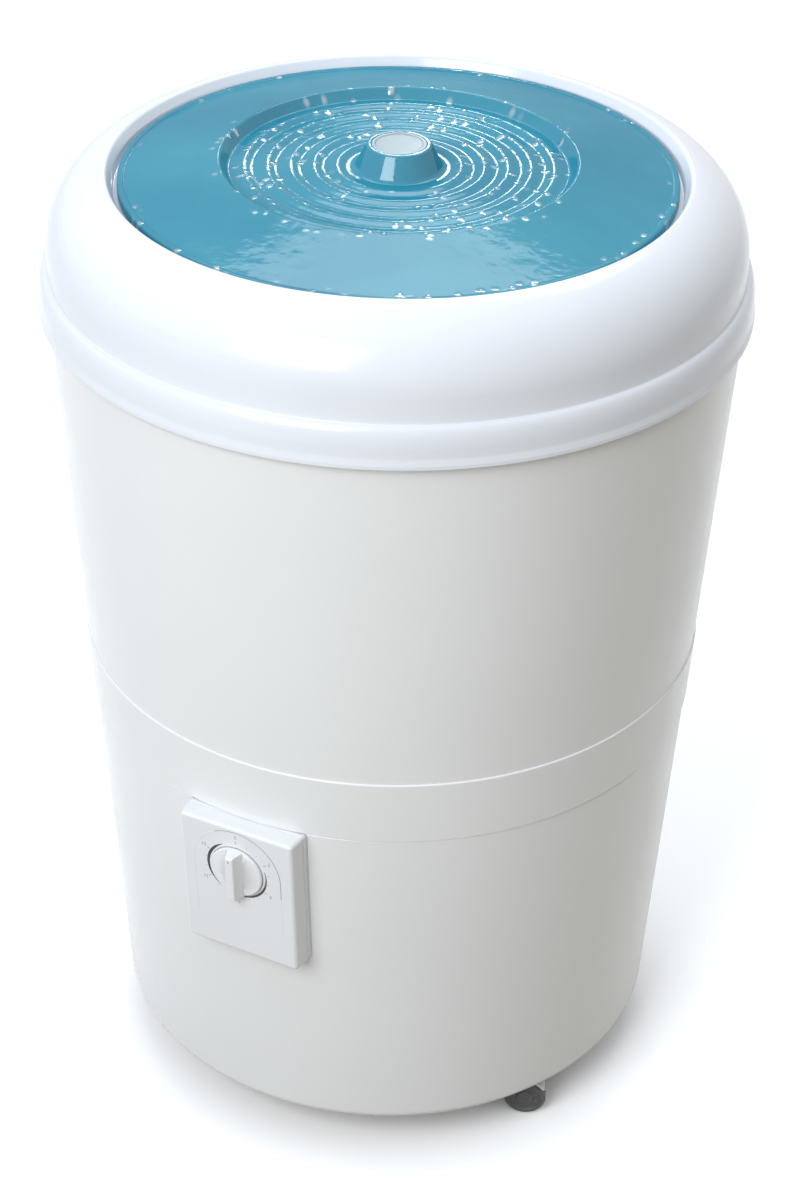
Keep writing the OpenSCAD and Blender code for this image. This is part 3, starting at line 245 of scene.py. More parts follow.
# Lamps, in degrees, metres and watts; azimuth counts from the camera's side, positive to the left
LAMP_DISTANCE = 3.0
BODY_AIM = (0, 0, 0.45)
LID_AIM = (0, 0, 0.8)
LAMPS = (
    {"name": "key", "azimuth": 32, "elevation": 34, "size": (1.6, 1.6), "power": 53,
     "colour": (0.975, 0.99, 1.01), "aim": BODY_AIM},
    {"name": "rear", "azimuth": 181, "elevation": 56, "size": (2.8, 1.1), "power": 29,
     "colour": (0.96, 0.98, 1.0), "aim": LID_AIM},
    {"name": "spark", "azimuth": 180.5, "elevation": 25.3, "size": (0.22, 0.22), "power": 2,
     "colour": (1.0, 1.0, 1.0), "aim": LID_AIM},
    {"name": "spark_back", "azimuth": 182.7, "elevation": 22.8, "size": (0.22, 0.22), "power": 2,
     "colour": (1.0, 1.0, 1.0), "aim": LID_AIM},
)

# The sockets of a colour mix node
MIX_A, MIX_B, MIX_RESULT = 6, 7, 2


def body_r(z):
    """Outer radius of the cone at a height above its bottom edge."""
    return BODY_R_BOTTOM + SLOPE * z


def skirt_r(z):
    """Outer radius of the tub's skirt, which steps in behind the band."""
    return body_r(z) - SKIRT_INSET


RECESS_R = body_r(FLOOR_Z) - RECESS_INSET
GROOVE_R = BEAD_R - BEAD_W
GROOVE_Z = BEAD_Z + BEAD_H
RIM_Z = GROOVE_Z - WALL
AT_BODY = Matrix.Translation((0, 0, GROUND_GAP))


# Outlines


def arc(centre, radius, start, end, steps):
    """Points of an arc between two angles in degrees; radius is one number or one for each axis."""
    rx, ry = radius if isinstance(radius, tuple) else (radius, radius)
    angles = [math.radians(start + (end - start) * i / steps) for i in range(steps + 1)]
    return [(centre[0] + rx * math.cos(a), centre[1] + ry * math.sin(a)) for a in angles]


def rounded(corners, closed=True, steps=5):
    """An outline whose corners are rounded; a corner with no fillet stays sharp."""
    points = []
    count = len(corners)
    sharpest, straight = 1e-3, math.radians(89.5)
    for i, corner in enumerate(corners):
        here = Vector(corner[:2])
        size = corner[2] if len(corner) > 2 else 0.0
        ends = not closed and i in (0, count - 1)
        if size <= 0 or ends:
            points.append(tuple(here))
            continue
        to_last = (Vector(corners[i - 1][:2]) - here).normalized()
        to_next = (Vector(corners[(i + 1) % count][:2]) - here).normalized()
        half = max(to_last.angle(to_next) / 2, sharpest)
        if half > straight:
            points.append(tuple(here))
            continue
        reach = size / math.tan(half)
        centre = here + (to_last + to_next).normalized() * (size / math.sin(half))
        first, last = here + to_last * reach - centre, here + to_next * reach - centre
        turn = first.angle_signed(last)
        for k in range(steps + 1):
            swing = Matrix.Rotation(-turn * k / steps, 2)
            points.append(tuple(centre + swing @ first))
    return points


# Meshes


def weigh_normals(obj):
    """Lets large faces set the normals, so that small fillets shade evenly."""
    modifier = obj.modifiers.new("normals", "WEIGHTED_NORMAL")
    modifier.weight = NORMAL_WEIGHT


def mesh_object(name, bm, smooth=True, weighted=True):
    """A linked object from a bmesh."""
    bmesh.ops.recalc_face_normals(bm, faces=bm.faces)
    mesh = bpy.data.meshes.new(name)
    bm.to_mesh(mesh)
    bm.free()
    for face in mesh.polygons:
        face.use_smooth = smooth
    obj = bpy.data.objects.new(name, mesh)
    bpy.context.scene.collection.objects.link(obj)
    if weighted:
        weigh_normals(obj)
    return obj


def lathe(name, outline, sides, closed=True, place=AT_BODY):
    """An object made by turning an outline round the Z axis; a point on the axis is one vertex."""
    bm = bmesh.new()
    rings = []
    for r, z in outline:
        ring = []
        for k in range(1 if r < 1e-6 else sides):
            a = 2 * math.pi * k / sides
            ring.append(bm.verts.new(place @ Vector((r * math.cos(a), r * math.sin(a), z)) * MM))
        rings.append(ring)
    for low, high in zip(rings, rings[1:] + rings[:1] if closed else rings[1:]):
        if len(low) == 1 and len(high) == 1:
            continue
        for k in range(sides):
            n = (k + 1) % sides
            corners = (low[k % len(low)], low[n % len(low)],
                       high[n % len(high)], high[k % len(high)])
            unique = list(dict.fromkeys(corners))
            if len(unique) > 2:
                bm.faces.new(unique)
    return mesh_object(name, bm)


def put(bm, points):
    """New vertices at points given in millimetres."""
    return [bm.verts.new(Vector(p) * MM) for p in points]


def skin(bm, rows):
    """Faces between neighbouring closed rows of vertices."""
    for low, high in zip(rows, rows[1:]):
        for k in range(len(low)):
            n = (k + 1) % len(low)
            bm.faces.new((low[k], low[n], high[n], high[k]))


def loft(bm, loops):
    """Skins a row of closed loops of points and caps both ends."""
    rows = [put(bm, loop) for loop in loops]
    skin(bm, rows)
    bm.faces.new(rows[0][::-1])
    bm.faces.new(rows[-1])


def fill_between(bm, outer, inner):
    """Fills a flat ring between two closed rows of vertices."""
    edges = []
    for row in (outer, inner):
        for k in range(len(row)):
            a, b = row[k], row[(k + 1) % len(row)]
            edges.append(bm.edges.get((a, b)) or bm.edges.new((a, b)))
    bmesh.ops.triangle_fill(bm, use_beauty=True, use_dissolve=False, edges=edges)


def finish_piece(obj, material, body, slot, *nodes):
    """Gives a piece its material and body, and lets it stand for its CAD nodes; slot is not used.
    """
    obj.data.materials.clear()
    obj.data.materials.append(material)
    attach(obj, body)
    if nodes:
        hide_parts(*nodes)


# Materials


class Nodes:
    """A small helper that adds nodes to a tree and links them."""

    def __init__(self, tree):
        self.tree = tree

    def add(self, kind, **values):
        """A new node with its own settings."""
        node = self.tree.nodes.new(kind)
        for key, value in values.items():
            setattr(node, key, value)
        return node

    def link(self, a, b):
        """Links an output to an input."""
        self.tree.links.new(a, b)

    def calculate(self, operation, *sources):
        """A math node's value; each source is an output or a number."""
        node = self.add("ShaderNodeMath", operation=operation)
        for socket, source in zip(node.inputs, sources):
            if isinstance(source, float):
                socket.default_value = source
            else:
                self.link(source, socket)
        return node.outputs["Value"]

    def ramp(self, source, stops):
        """A colour ramp over a value; stops are (place, colour)."""
        node = self.add("ShaderNodeValToRGB")
        elements = node.color_ramp.elements
        while len(elements) < len(stops):
            elements.new(0.5)
        for element, (place, colour) in zip(elements, stops):
            element.position = place
            element.color = (*colour, 1.0)
        self.link(source, node.inputs["Fac"])
        return node.outputs["Color"]

    def spread(self, source, low, high, start=0.3, end=0.7):
        """Maps a value from between start and end onto a range."""
        node = self.add("ShaderNodeMapRange")
        limits = {"From Min": start, "From Max": end, "To Min": low, "To Max": high}
        for key, value in limits.items():
            node.inputs[key].default_value = value
        self.link(source, node.inputs["Value"])
        return node.outputs["Result"]

    def blend(self, share, first, second):
        """Mixes two colours by a share; each is an output or three numbers."""
        node = self.add("ShaderNodeMix", data_type="RGBA")
        self.link(share, node.inputs["Factor"])
        for socket, source in ((MIX_A, first), (MIX_B, second)):
            if isinstance(source, tuple):
                node.inputs[socket].default_value = (*source, 1)
            else:
                self.link(source, node.inputs[socket])
        return node.outputs[MIX_RESULT]


class Material(Nodes):
    """A node material with its Principled shader and its object coordinates."""

    def __init__(self, name):
        self.material = bpy.data.materials.new(name)
        self.material.use_nodes = True
        super().__init__(self.material.node_tree)
        self.shader = next(n for n in self.tree.nodes if n.type == "BSDF_PRINCIPLED")
        self.coords = self.add("ShaderNodeTexCoord").outputs["Object"]

    def noise(self, scale, detail=3.0, stretch=None, roughness=0.5):
        """A noise's Fac output; stretch scales the space along each axis."""
        node = self.add("ShaderNodeTexNoise")
        node.inputs["Scale"].default_value = scale
        node.inputs["Detail"].default_value = detail
        node.inputs["Roughness"].default_value = roughness
        source = self.stretch(stretch) if stretch else self.coords
        self.link(source, node.inputs["Vector"])
        return node.outputs["Fac"]

    def stretch(self, scale):
        """The object coordinates, scaled along each axis."""
        node = self.add("ShaderNodeMapping")
        node.inputs["Scale"].default_value = scale
        self.link(self.coords, node.inputs["Vector"])
        return node.outputs["Vector"]

    def bump(self, source, strength, distance, under=None):
        """A bumped normal, laid over another one where that is given."""
        node = self.add("ShaderNodeBump")
        node.inputs["Strength"].default_value = strength
        node.inputs["Distance"].default_value = distance
        self.link(source, node.inputs["Height"])
        if under:
            self.link(under, node.inputs["Normal"])
        return node.outputs["Normal"]

    def drive(self, **sources):
        """Links outputs to the Principled shader; an underscore stands for a space."""
        for key, source in sources.items():
            self.link(source, self.shader.inputs[key.replace("_", " ")])

    def set(self, **values):
        """Sets the Principled shader's plain values; an underscore stands for a space."""
        for key, value in values.items():
            self.shader.inputs[key.replace("_", " ")].default_value = value

    def show(self, shader):
        """Shows a shader node's output in place of the Principled shader alone."""
        output = next(n for n in self.tree.nodes if n.type == "OUTPUT_MATERIAL")
        self.link(shader, output.inputs["Surface"])


def moulded_plastic(name, colour, roughness, tint=0.02, coat=0.0, specular=0.5):
    """Moulded plastic: a faint cloud in its colour, a soft change of gloss and a fine grain."""
    n = Material(name)
    dark = tuple(max(c - tint, 0.0) for c in colour)
    cloud, gloss = n.noise(scale=6.0, detail=4.0), n.noise(scale=14.0, detail=5.0)
    wave = n.bump(n.noise(scale=9.0, detail=2.0), strength=0.12, distance=0.0006)
    grain = n.noise(scale=900.0, detail=2.0)
    n.drive(Base_Color=n.ramp(cloud, [(0.35, dark), (0.65, colour)]),
            Roughness=n.spread(gloss, roughness * 0.85, roughness * 1.2),
            Normal=n.bump(grain, strength=0.25, distance=0.00002, under=wave))
    n.set(Specular_IOR_Level=specular, IOR=1.49, Coat_Weight=coat, Coat_Roughness=0.06)
    return n.material


def bead_heights(n):
    """Heights of the lid's moulded beads: round, in patches, in its dish and along its rim."""
    flat = n.stretch((1, 1, 0))
    radius = n.add("ShaderNodeVectorMath", operation="LENGTH")
    n.link(flat, radius.inputs[0])
    share = n.calculate("MULTIPLY", radius.outputs["Value"], 1 / (LID_R * MM))
    dish, rim = DISH_R / LID_R, 1 - BEAD_RIM_W / LID_R
    zones = n.ramp(share, [(0.2, OFF), (0.24, ON), (dish + 0.02, ON), (dish + 0.05, OFF),
                           (rim - 0.02, OFF), (rim, ON)])
    cells = n.add("ShaderNodeTexVoronoi", voronoi_dimensions="2D")
    cells.inputs["Scale"].default_value = BEADS_PER_METRE
    n.link(flat, cells.inputs["Vector"])
    beads = n.ramp(cells.outputs["Distance"], [(0.0, ON), (0.12, (0.88, 0.88, 0.88)),
                                               (0.24, (0.5, 0.5, 0.5)), (0.36, OFF)])
    patches = n.ramp(n.noise(scale=14.0, detail=2.0), [(0.42, OFF), (0.52, ON)])
    chance = n.add("ShaderNodeSeparateXYZ")
    n.link(cells.outputs["Color"], chance.inputs["Vector"])
    chosen = n.ramp(chance.outputs["X"], [(0.66, OFF), (0.68, (0.7, 0.7, 0.7)), (1.0, ON)])
    for mask in (zones, patches, chosen):
        beads = n.calculate("MULTIPLY", beads, mask)
    return beads


def lid_plastic():
    """Clear teal plastic, dyed through, with a glossy skin whose beads throw small glints."""
    n = Material("lid_teal")
    rough = n.spread(n.noise(scale=22.0, detail=4.0), 0.06, 0.13)
    slow = n.bump(n.noise(scale=30.0), strength=0.4, distance=0.0012)
    fast = n.bump(n.noise(scale=90.0, detail=2.0), strength=0.45, distance=0.0006, under=slow)
    beads = bead_heights(n)
    normal = n.bump(beads, strength=1.0, distance=0.0006, under=fast)
    n.drive(Base_Color=n.ramp(n.noise(scale=7.0), [(0.3, TEAL_DEEP), (0.7, TEAL_PALE)]),
            Roughness=rough, Normal=normal)
    n.set(Transmission_Weight=0.25, IOR=1.46, Specular_IOR_Level=0.0)
    gloss = n.add("ShaderNodeBsdfGlossy")
    n.link(rough, gloss.inputs["Roughness"])
    n.link(normal, gloss.inputs["Normal"])
    both = n.add("ShaderNodeMixShader")
    share = n.calculate("MULTIPLY_ADD", beads, BEAD_GLOSS, LID_GLOSS)
    n.link(share, both.inputs["Fac"])
    n.link(n.shader.outputs["BSDF"], both.inputs[1])
    n.link(gloss.outputs["BSDF"], both.inputs[2])
    n.show(both.outputs["Shader"])
    return n.material


def brushed_metal(name, colour, roughness=0.35):
    """Plated or turned metal with fine scratches."""
    n = Material(name)
    dark = tuple(c * 0.75 for c in colour)
    cloud = n.noise(scale=60.0, detail=4.0, stretch=(1, 1, 12))
    gloss = n.noise(scale=140.0, detail=4.0, stretch=(1, 1, 8))
    scratches = n.noise(scale=500.0, detail=2.0, stretch=(1, 1, 6))
    n.drive(Base_Color=n.ramp(cloud, [(0.3, dark), (0.7, colour)]),
            Roughness=n.spread(gloss, roughness * 0.7, roughness * 1.3),
            Normal=n.bump(scratches, strength=0.2, distance=0.00005))
    n.set(Metallic=1.0)
    return n.material


def rubber(name, colour, roughness=0.6):
    """Rubber or hard wheel plastic: matt, with dust in its grain."""
    n = Material(name)
    light = tuple(min(c * 1.7 + 0.01, 1.0) for c in colour)
    dust = n.noise(scale=120.0, detail=6.0, roughness=0.7)
    gloss = n.noise(scale=60.0, detail=4.0)
    n.drive(Base_Color=n.ramp(dust, [(0.35, colour), (0.75, light)]),
            Roughness=n.spread(gloss, roughness * 0.8, roughness * 1.15),
            Normal=n.bump(n.noise(scale=700.0), strength=0.35, distance=0.0001))
    return n.material


# Each material's maker, colour and other settings
RECIPES = {
    "body_white": (moulded_plastic, WHITE, {"roughness": 0.22, "coat": 0.1, "specular": 0.4}),
    # ring_white is the body's white plastic painted darker and bluer, as painted shade on the ring
    "ring_white": (moulded_plastic, RING_WHITE_SHADED, {"roughness": 0.2, "coat": 0.25}),
    "panel_white": (moulded_plastic, PANEL_WHITE, {"roughness": 0.32}),
    "knob_white": (moulded_plastic, PANEL_WHITE, {"roughness": 0.28}),
    # cap_silver: its blue-grey and its strong cloud of lighter and darker bits are painted
    # reflection of the teal lid and its surroundings in the silver disc
    "cap_silver": (moulded_plastic, (0.34, 0.44, 0.49), {"roughness": 0.35, "tint": 0.12}),
    "pulsator_blue": (moulded_plastic, (0.30, 0.52, 0.68), {"roughness": 0.25}),
    "black_plastic": (moulded_plastic, (0.012, 0.012, 0.013), {"roughness": 0.45, "tint": 0.004}),
    "dark_plastic": (moulded_plastic, (0.05, 0.05, 0.052), {"roughness": 0.45, "tint": 0.01}),
    "wheel_grey": (rubber, (0.06, 0.062, 0.06), {"roughness": 0.5}),
    "hood_white": (moulded_plastic, (0.62, 0.63, 0.62), {"roughness": 0.3}),
    "black_rubber": (rubber, (0.02, 0.02, 0.02), {}),
    "steel": (brushed_metal, (0.62, 0.63, 0.64), {}),
    "core_steel": (brushed_metal, (0.32, 0.33, 0.35), {"roughness": 0.5}),
    "mark_grey": (moulded_plastic, (0.30, 0.31, 0.33), {"roughness": 0.4}),
    "cast_metal": (brushed_metal, (0.55, 0.56, 0.57), {"roughness": 0.55}),
    "copper": (brushed_metal, (0.72, 0.33, 0.16), {"roughness": 0.3}),
    "bronze": (brushed_metal, (0.6, 0.42, 0.2), {"roughness": 0.4}),
}
MATERIALS = {name: make(name, colour, **more) for name, (make, colour, more) in RECIPES.items()}
MATERIALS["lid_teal"] = lid_plastic()

for entry in frame["record"]["subparts"]:
    node = frame["nodes"][entry["node"]]
    node.data.materials.clear()
    node.data.materials.append(MATERIALS[entry["material_slot"]])


# The casing


def base_shell_outline():
    """The lower shell: lip, bottom corner, wall, fine line, proud band and the step behind it."""
    corner = (body_r(CORNER_R) - CORNER_R, CORNER_R)
    lip_r = corner[0] - LIP_W
    low, high = BAND_LOW, BAND_LOW + BAND_H
    line_r = body_r(low) - LINE_DEPTH
    step_r, step_z = skirt_r(low + WALL), low + WALL
    wall = [
        (body_r(WALL_START), WALL_START), (body_r(low - LINE_EDGE_H), low - LINE_EDGE_H, 0.5),
        (line_r, low - LINE_H, 0.4), (line_r, low), (body_r(low) + BAND_PROUD, low, 0.4),
        (body_r(high) + BAND_PROUD, high, 1.4), (skirt_r(high) + FIT, high, 0.3),
        (step_r + FIT, step_z), (step_r - WALL, step_z),
        (body_r(low - BAND_SEAT_H) - WALL, low - BAND_SEAT_H)]
    return ([(lip_r, 0.0)] + arc(corner, CORNER_R, -90, 0, 16) + rounded(wall, closed=False)
            + arc(corner, CORNER_R - WALL, 0, -90, 8) + [(lip_r, WALL)])


def tub_outline():
    """The tub: skirt, outer wall, rim, tapered inside, floor with its recess, hub and underside."""
    foot = BAND_LOW + WALL
    top = BAND_LOW + BAND_H + FIT
    rim_in = GROOVE_R - RIM_STEP - RIM_W
    bevel, shoulder = RIM_Z - RIM_BEVEL_H, RIM_Z - RIM_H - WALL
    edge = body_r(FLOOR_Z + FLOOR_FILLET) - WALL - FLOOR_FILLET
    under, below = RECESS_Z - FLOOR_T, FLOOR_Z - FLOOR_T
    return rounded([
        (skirt_r(foot), foot), (skirt_r(top), top), (body_r(top), top),
        (body_r(bevel), bevel, 2), (GROOVE_R - RIM_STEP, RIM_Z, 0.3), (rim_in, RIM_Z, 0.6),
        (rim_in, RIM_Z - RIM_H, 2), (body_r(shoulder) - WALL, shoulder, 2),
        (edge + FLOOR_FILLET - 1.0, FLOOR_Z, FLOOR_FILLET), (RECESS_R + RECESS_SLOPE_W, FLOOR_Z, 5),
        (RECESS_R, RECESS_Z, 5), (HUB_BOSS_R + HUB_SLOPE_W, RECESS_Z, 3),
        (HUB_BOSS_R, HUB_BOSS_Z, 2), (HOUSING_R, HUB_BOSS_Z), (HOUSING_R, under),
        (RECESS_R + WALL, under), (RECESS_R + RECESS_SLOPE_W + WALL, below),
        (skirt_r(below) - WALL, below), (skirt_r(foot) - WALL, foot)], steps=8)


def dome(a, b, start, end, steps):
    """Points of the ring's dome, between two angles in degrees."""
    points = []
    for i in range(steps + 1):
        t = math.radians(start + (end - start) * i / steps)
        c, s = max(math.cos(t), 0.0), max(math.sin(t), 0.0)
        points.append((LID_R + a * c ** (2 / DOME_N), DOME_Z + b * s ** (2 / DOME_N)))
    return points


DOME_Z = GROOVE_Z + DOME_FOOT
DOME_A = GROOVE_R - LID_R
CREST_R = LID_R + LID_GAP + SHOULDER_W
CREST_ANGLE = math.degrees(math.acos(((LID_GAP + SHOULDER_W) / DOME_A) ** (DOME_N / 2)))
CREST_Z = dome(DOME_A, DOME_H, CREST_ANGLE, CREST_ANGLE, 1)[0][1]
SEAT_Z = CREST_Z - SHOULDER_H - LID_RIM_H + LID_SUNK


def top_ring_outline():
    """The ring: foot, bead, groove, dome, shoulder, the lid's ledge, drip skirt and inside."""
    wall_r = LID_R + LID_GAP
    ledge_r = wall_r - LEDGE_W - LID_GAP
    bend, drip_z, under = CREST_Z - SHOULDER_H, SEAT_Z - DRIP_H, SEAT_Z - WALL
    foot = rounded([(BEAD_R - WALL, BODY_H), (RING_LIP_R, BODY_H, 1.0),
                    (RING_LIP_R, BODY_H + RING_LIP_H, 2.0), (BEAD_R, BODY_H + RING_NECK_H, 9),
                    (BEAD_R, BEAD_Z)], closed=False)
    bead = arc((GROOVE_R + 1.2, BEAD_Z), (BEAD_W - 1.2, BEAD_H - 0.6), 6, 82, 22)
    groove = rounded([bead[-1], (GROOVE_R + 0.3, GROOVE_Z - 0.5, 1.4), (GROOVE_R, DOME_Z)],
                     closed=False)[1:]
    crown = dome(DOME_A, DOME_H, DOME_START, CREST_ANGLE - DOME_SHORT, 40)
    shoulder = rounded([
        crown[-1], (CREST_R - 1.5, CREST_Z + 0.3, 3.5), (wall_r + 1.0, bend - 0.4, 2.0),
        (wall_r, SEAT_Z, 0.8), (ledge_r, SEAT_Z, 1.2), (ledge_r, drip_z, 1.0),
        (ledge_r + WALL - 0.5, drip_z, 1.0), (ledge_r + WALL, under, 1.0), (wall_r + WALL, under),
        (wall_r + WALL, bend - WALL)], closed=False)[1:]
    inside = dome(DOME_A - WALL, DOME_H - WALL, CREST_ANGLE - DOME_SHORT, DOME_START, 16)
    bead_in = arc((GROOVE_R, BEAD_Z), (BEAD_W - WALL, BEAD_H - WALL), 90, 0, 10)
    return foot + bead + groove + crown + shoulder + inside + [(GROOVE_R - WALL, RIM_Z)] + bead_in


finish_piece(lathe("base_shell_skin", base_shell_outline(), SHELL_SIDES), MATERIALS["body_white"],
             "machine", "body_white", "base_shell")
finish_piece(lathe("tub_skin", tub_outline(), SHELL_SIDES), MATERIALS["body_white"],
             "machine", "body_white", "tub")
finish_piece(lathe("top_ring_skin", top_ring_outline(), SHELL_SIDES), MATERIALS["ring_white"],
             "machine", "body_white", "top_ring")


# The lid


RIM_TOP = SEAT_Z + LID_RIM_H
DISH_EDGE_Z = RIM_TOP + LID_RISE
DISH_Z = DISH_EDGE_Z - DISH_DEPTH
DISH_FLOOR_R = DISH_R - DISH_WALL_W
RIPPLE_START = KNOB_FOOT_R + KNOB_ROUND
KNOB_TOP_Z = DISH_Z + KNOB_H
CAP_Z = KNOB_TOP_Z - CAP_T


def ripple_z(r):
    """Height of the rippled floor at a radius."""
    turns = RIPPLES * (DISH_FLOOR_R - r) / (DISH_FLOOR_R - RIPPLE_START)
    return DISH_Z + RIPPLE_H / 2 * (1 - math.cos(2 * math.pi * turns))


def lid_outline():
    """The lid, from the knob's middle over the rippled floor to the rim and back under it."""
    knob = rounded([(0, CAP_Z), (CAP_R + 0.1, CAP_Z), (CAP_R + 0.3, KNOB_TOP_Z, 0.4),
                    (KNOB_TOP_R, KNOB_TOP_Z, 2.2), (KNOB_FOOT_R, DISH_Z, KNOB_ROUND),
                    (RIPPLE_START, DISH_Z)], closed=False, steps=8)
    steps = RIPPLE_STEPS * RIPPLES
    radii = [RIPPLE_START + (DISH_FLOOR_R - RIPPLE_START) * i / steps for i in range(1, steps)]
    floor = [(r, ripple_z(r)) for r in radii]
    rise_r, inner_r, foot_z = LID_R - LID_RIM_W, LID_R - LID_T, SEAT_Z + LID_CLEAR
    rest = rounded([
        (DISH_FLOOR_R, DISH_Z), (DISH_FLOOR_R + 2.2, DISH_Z, 2.4), (DISH_R - 0.5, DISH_EDGE_Z, 3.0),
        (rise_r, RIM_TOP - LID_STEP_H, 1.0), (rise_r + 0.6, RIM_TOP, 0.5), (LID_R, RIM_TOP, 2.2),
        (LID_R, foot_z, 0.4), (inner_r, foot_z, 0.4), (inner_r, RIM_TOP - LID_T, 0.6),
        (rise_r, RIM_TOP - LID_T - LID_STEP_H, 0.8), (DISH_R + 1.5, DISH_EDGE_Z - LID_T, 2.0),
        (DISH_FLOOR_R + 3.5, DISH_Z - LID_T, 2.0), (KNOB_FOOT_R + 1.5, DISH_Z - LID_T, 2.0),
        (KNOB_TOP_R - LID_T - 0.6, CAP_Z - LID_T, 1.5), (0, CAP_Z - LID_T)],
        closed=False, steps=8)
    return knob + floor + rest


def cap_outline():
    """The silver disc in the lid's knob, with a raised edge round a shallow dip."""
    foot = CAP_Z + CAP_LIFT
    return rounded([(0, foot), (CAP_R, foot, 0.2), (CAP_R, KNOB_TOP_Z, 0.7),
                    (CAP_R - CAP_EDGE_W, KNOB_TOP_Z, 0.8),
                    (CAP_R - CAP_DIP_W, KNOB_TOP_Z - 0.7, 0.8), (0, KNOB_TOP_Z - 0.5)],
                   closed=False)


finish_piece(lathe("lid_skin", lid_outline(), SHELL_SIDES, closed=False), MATERIALS["lid_teal"],
             "lid", "lid_teal", "lid")
finish_piece(lathe("knob_cap_skin", cap_outline(), CAP_SIDES, closed=False),
             MATERIALS["cap_silver"], "lid", "cap_silver", "knob_cap")


# The timer panel: its local frame has X to the right, Y up the face and Z out of it


PANEL_Z = BAND_LOW - FIT - PANEL_H / 2 * math.cos(LEAN)
PANEL_FACE_Y = math.sqrt(body_r(PANEL_Z) ** 2 - (PANEL_W / 2) ** 2) + PANEL_PROUD + PANEL_BULGE
ON_FACE = (Matrix.Translation((0, -PANEL_FACE_Y, PANEL_Z + GROUND_GAP))
           @ Matrix.Rotation(math.pi / 2 + LEAN, 4, "X"))
AT_DIAL = ON_FACE @ Matrix.Translation((0, DIAL_V, 0))


def rounded_rectangle(w, h, r, steps=6):
    """Points round a rectangle with rounded corners, counter-clockwise from its right side."""
    points = []
    for k, (sx, sy) in enumerate(((1, 1), (-1, 1), (-1, -1), (1, -1))):
        points += arc((sx * (w / 2 - r), sy * (h / 2 - r)), r, 90 * k, 90 * k + 90, steps)
    return points


def panel_outline(inset, back=0.0):
    """The panel's outline with rounded corners; back grows it from its face to its full depth."""
    w = PANEL_W + 2 * PANEL_DRAFT * back - 2 * inset
    top = PANEL_H / 2 - PANEL_DEPTH * math.tan(LEAN) * back - inset
    foot = -PANEL_H / 2 - PANEL_DRAFT * back + inset
    fillet = max(CORNER_FILLET - inset, 0.3)
    return [(x, y + (top + foot) / 2) for x, y in rounded_rectangle(w, top - foot, fillet)]


def panel_point(inset, share, k):
    """The point k of the outline, a share of the way down the panel's side."""
    return ON_FACE @ Vector((*panel_outline(inset, share)[k], -PANEL_DEPTH * share))


def seat_share(inset, k):
    """How far down the panel's side, from 0 at its face to 1, point k meets the body's wall."""
    low, high = 0.0, 1.0
    for _ in range(SEAT_HALVINGS):
        share = (low + high) / 2
        p = panel_point(inset, share, k)
        if math.hypot(p.x, p.y) > body_r(p.z - GROUND_GAP) + SEAT_GAP:
            low = share
        else:
            high = share
    return low


def panel_row(bm, inset, rise, seats):
    """A row of the panel's side at a height above the wall, but never above the face."""
    shares = [max(seat - rise / PANEL_DEPTH, 0.0) for seat in seats]
    return put(bm, [panel_point(inset, share, k) for k, share in enumerate(shares)])


def face_row(bm, inset, z):
    """A flat row of the panel at a depth z below its face."""
    share = -z / PANEL_DEPTH
    return put(bm, [ON_FACE @ Vector((x, y, z)) for x, y in panel_outline(inset, share)])


def dial_row(bm, r, z, count=96):
    """A round row about the dial's centre."""
    turns = [2 * math.pi * k / count for k in range(count)]
    return put(bm, [AT_DIAL @ Vector((r * math.cos(a), r * math.sin(a), z)) for a in turns])


def make_panel():
    """The panel: a rounded face, a seamed side that follows the wall, a hollow back and a hole."""
    bm = bmesh.new()
    count = len(panel_outline(0))
    outer_seats = [seat_share(0, k) for k in range(count)]
    inner_seats = [seat_share(PANEL_T, k) for k in range(count)]
    rows = []
    for i in range(FILLET_STEPS + 1):
        a = math.radians(90 * i / FILLET_STEPS)
        inset, depth = FACE_FILLET * (1 - math.sin(a)), FACE_FILLET * (1 - math.cos(a))
        rows.append(face_row(bm, inset, -depth))
    seam_low, seam_high = SEAM_UP, SEAM_UP + SEAM_W
    side = ((0, seam_high + 6), (0, seam_high + SEAM_EDGE), (SEAM_EDGE, seam_high),
            (SEAM_DEPTH, seam_high), (SEAM_DEPTH, seam_low), (SEAM_EDGE, seam_low),
            (0, seam_low - SEAM_EDGE), (0, 0))
    rows += [panel_row(bm, inset, rise, outer_seats) for inset, rise in side]
    rows += [panel_row(bm, PANEL_T, 0, inner_seats), face_row(bm, PANEL_T, -PANEL_T)]
    skin(bm, rows)
    sides = ((DIAL_HOLE_R + 0.5, 0), (DIAL_HOLE_R + 0.15, -0.15), (DIAL_HOLE_R, -0.5),
             (DIAL_HOLE_R, -PANEL_T))
    hole = [dial_row(bm, r, z) for r, z in sides]
    skin(bm, hole)
    fill_between(bm, rows[0], hole[0])
    fill_between(bm, rows[-1], hole[-1])
    finish_piece(mesh_object("control_panel_skin", bm), MATERIALS["panel_white"],
                 "machine", "panel_white", "control_panel")


# The dial


def sweep(bm, path, normal, w, h):
    """A rounded rib along a path of points on a plane with the given normal."""
    section = ([(-w / 2, ARCH_FOOT), (-w / 2, 0)] + arc((0, 0), (w / 2, h), 150, 30, 4)
               + [(w / 2, 0), (w / 2, ARCH_FOOT)])
    loops = []
    for i, p in enumerate(path):
        ahead = (path[min(i + 1, len(path) - 1)] - path[max(i - 1, 0)]).normalized()
        side = ahead.cross(normal)
        loops.append([p + side * x + normal * y for x, y in section])
    loft(bm, loops)


def arch_line(start, end):
    """Points of the arch, counted in degrees from its right foot; its legs go straight on."""
    points = []
    steps = max(int(abs(end - start) / ARCH_STEP), 2)
    for i in range(steps + 1):
        a = start + (end - start) * i / steps
        over = min(max(a, 0.0), 180.0)
        drop = abs(a - over) * ARCH_R * math.pi / 180
        x, y = ARCH_R * math.cos(math.radians(over)), ARCH_R * math.sin(math.radians(over))
        points.append(AT_DIAL @ Vector((x, y - drop, 0)))
    return points


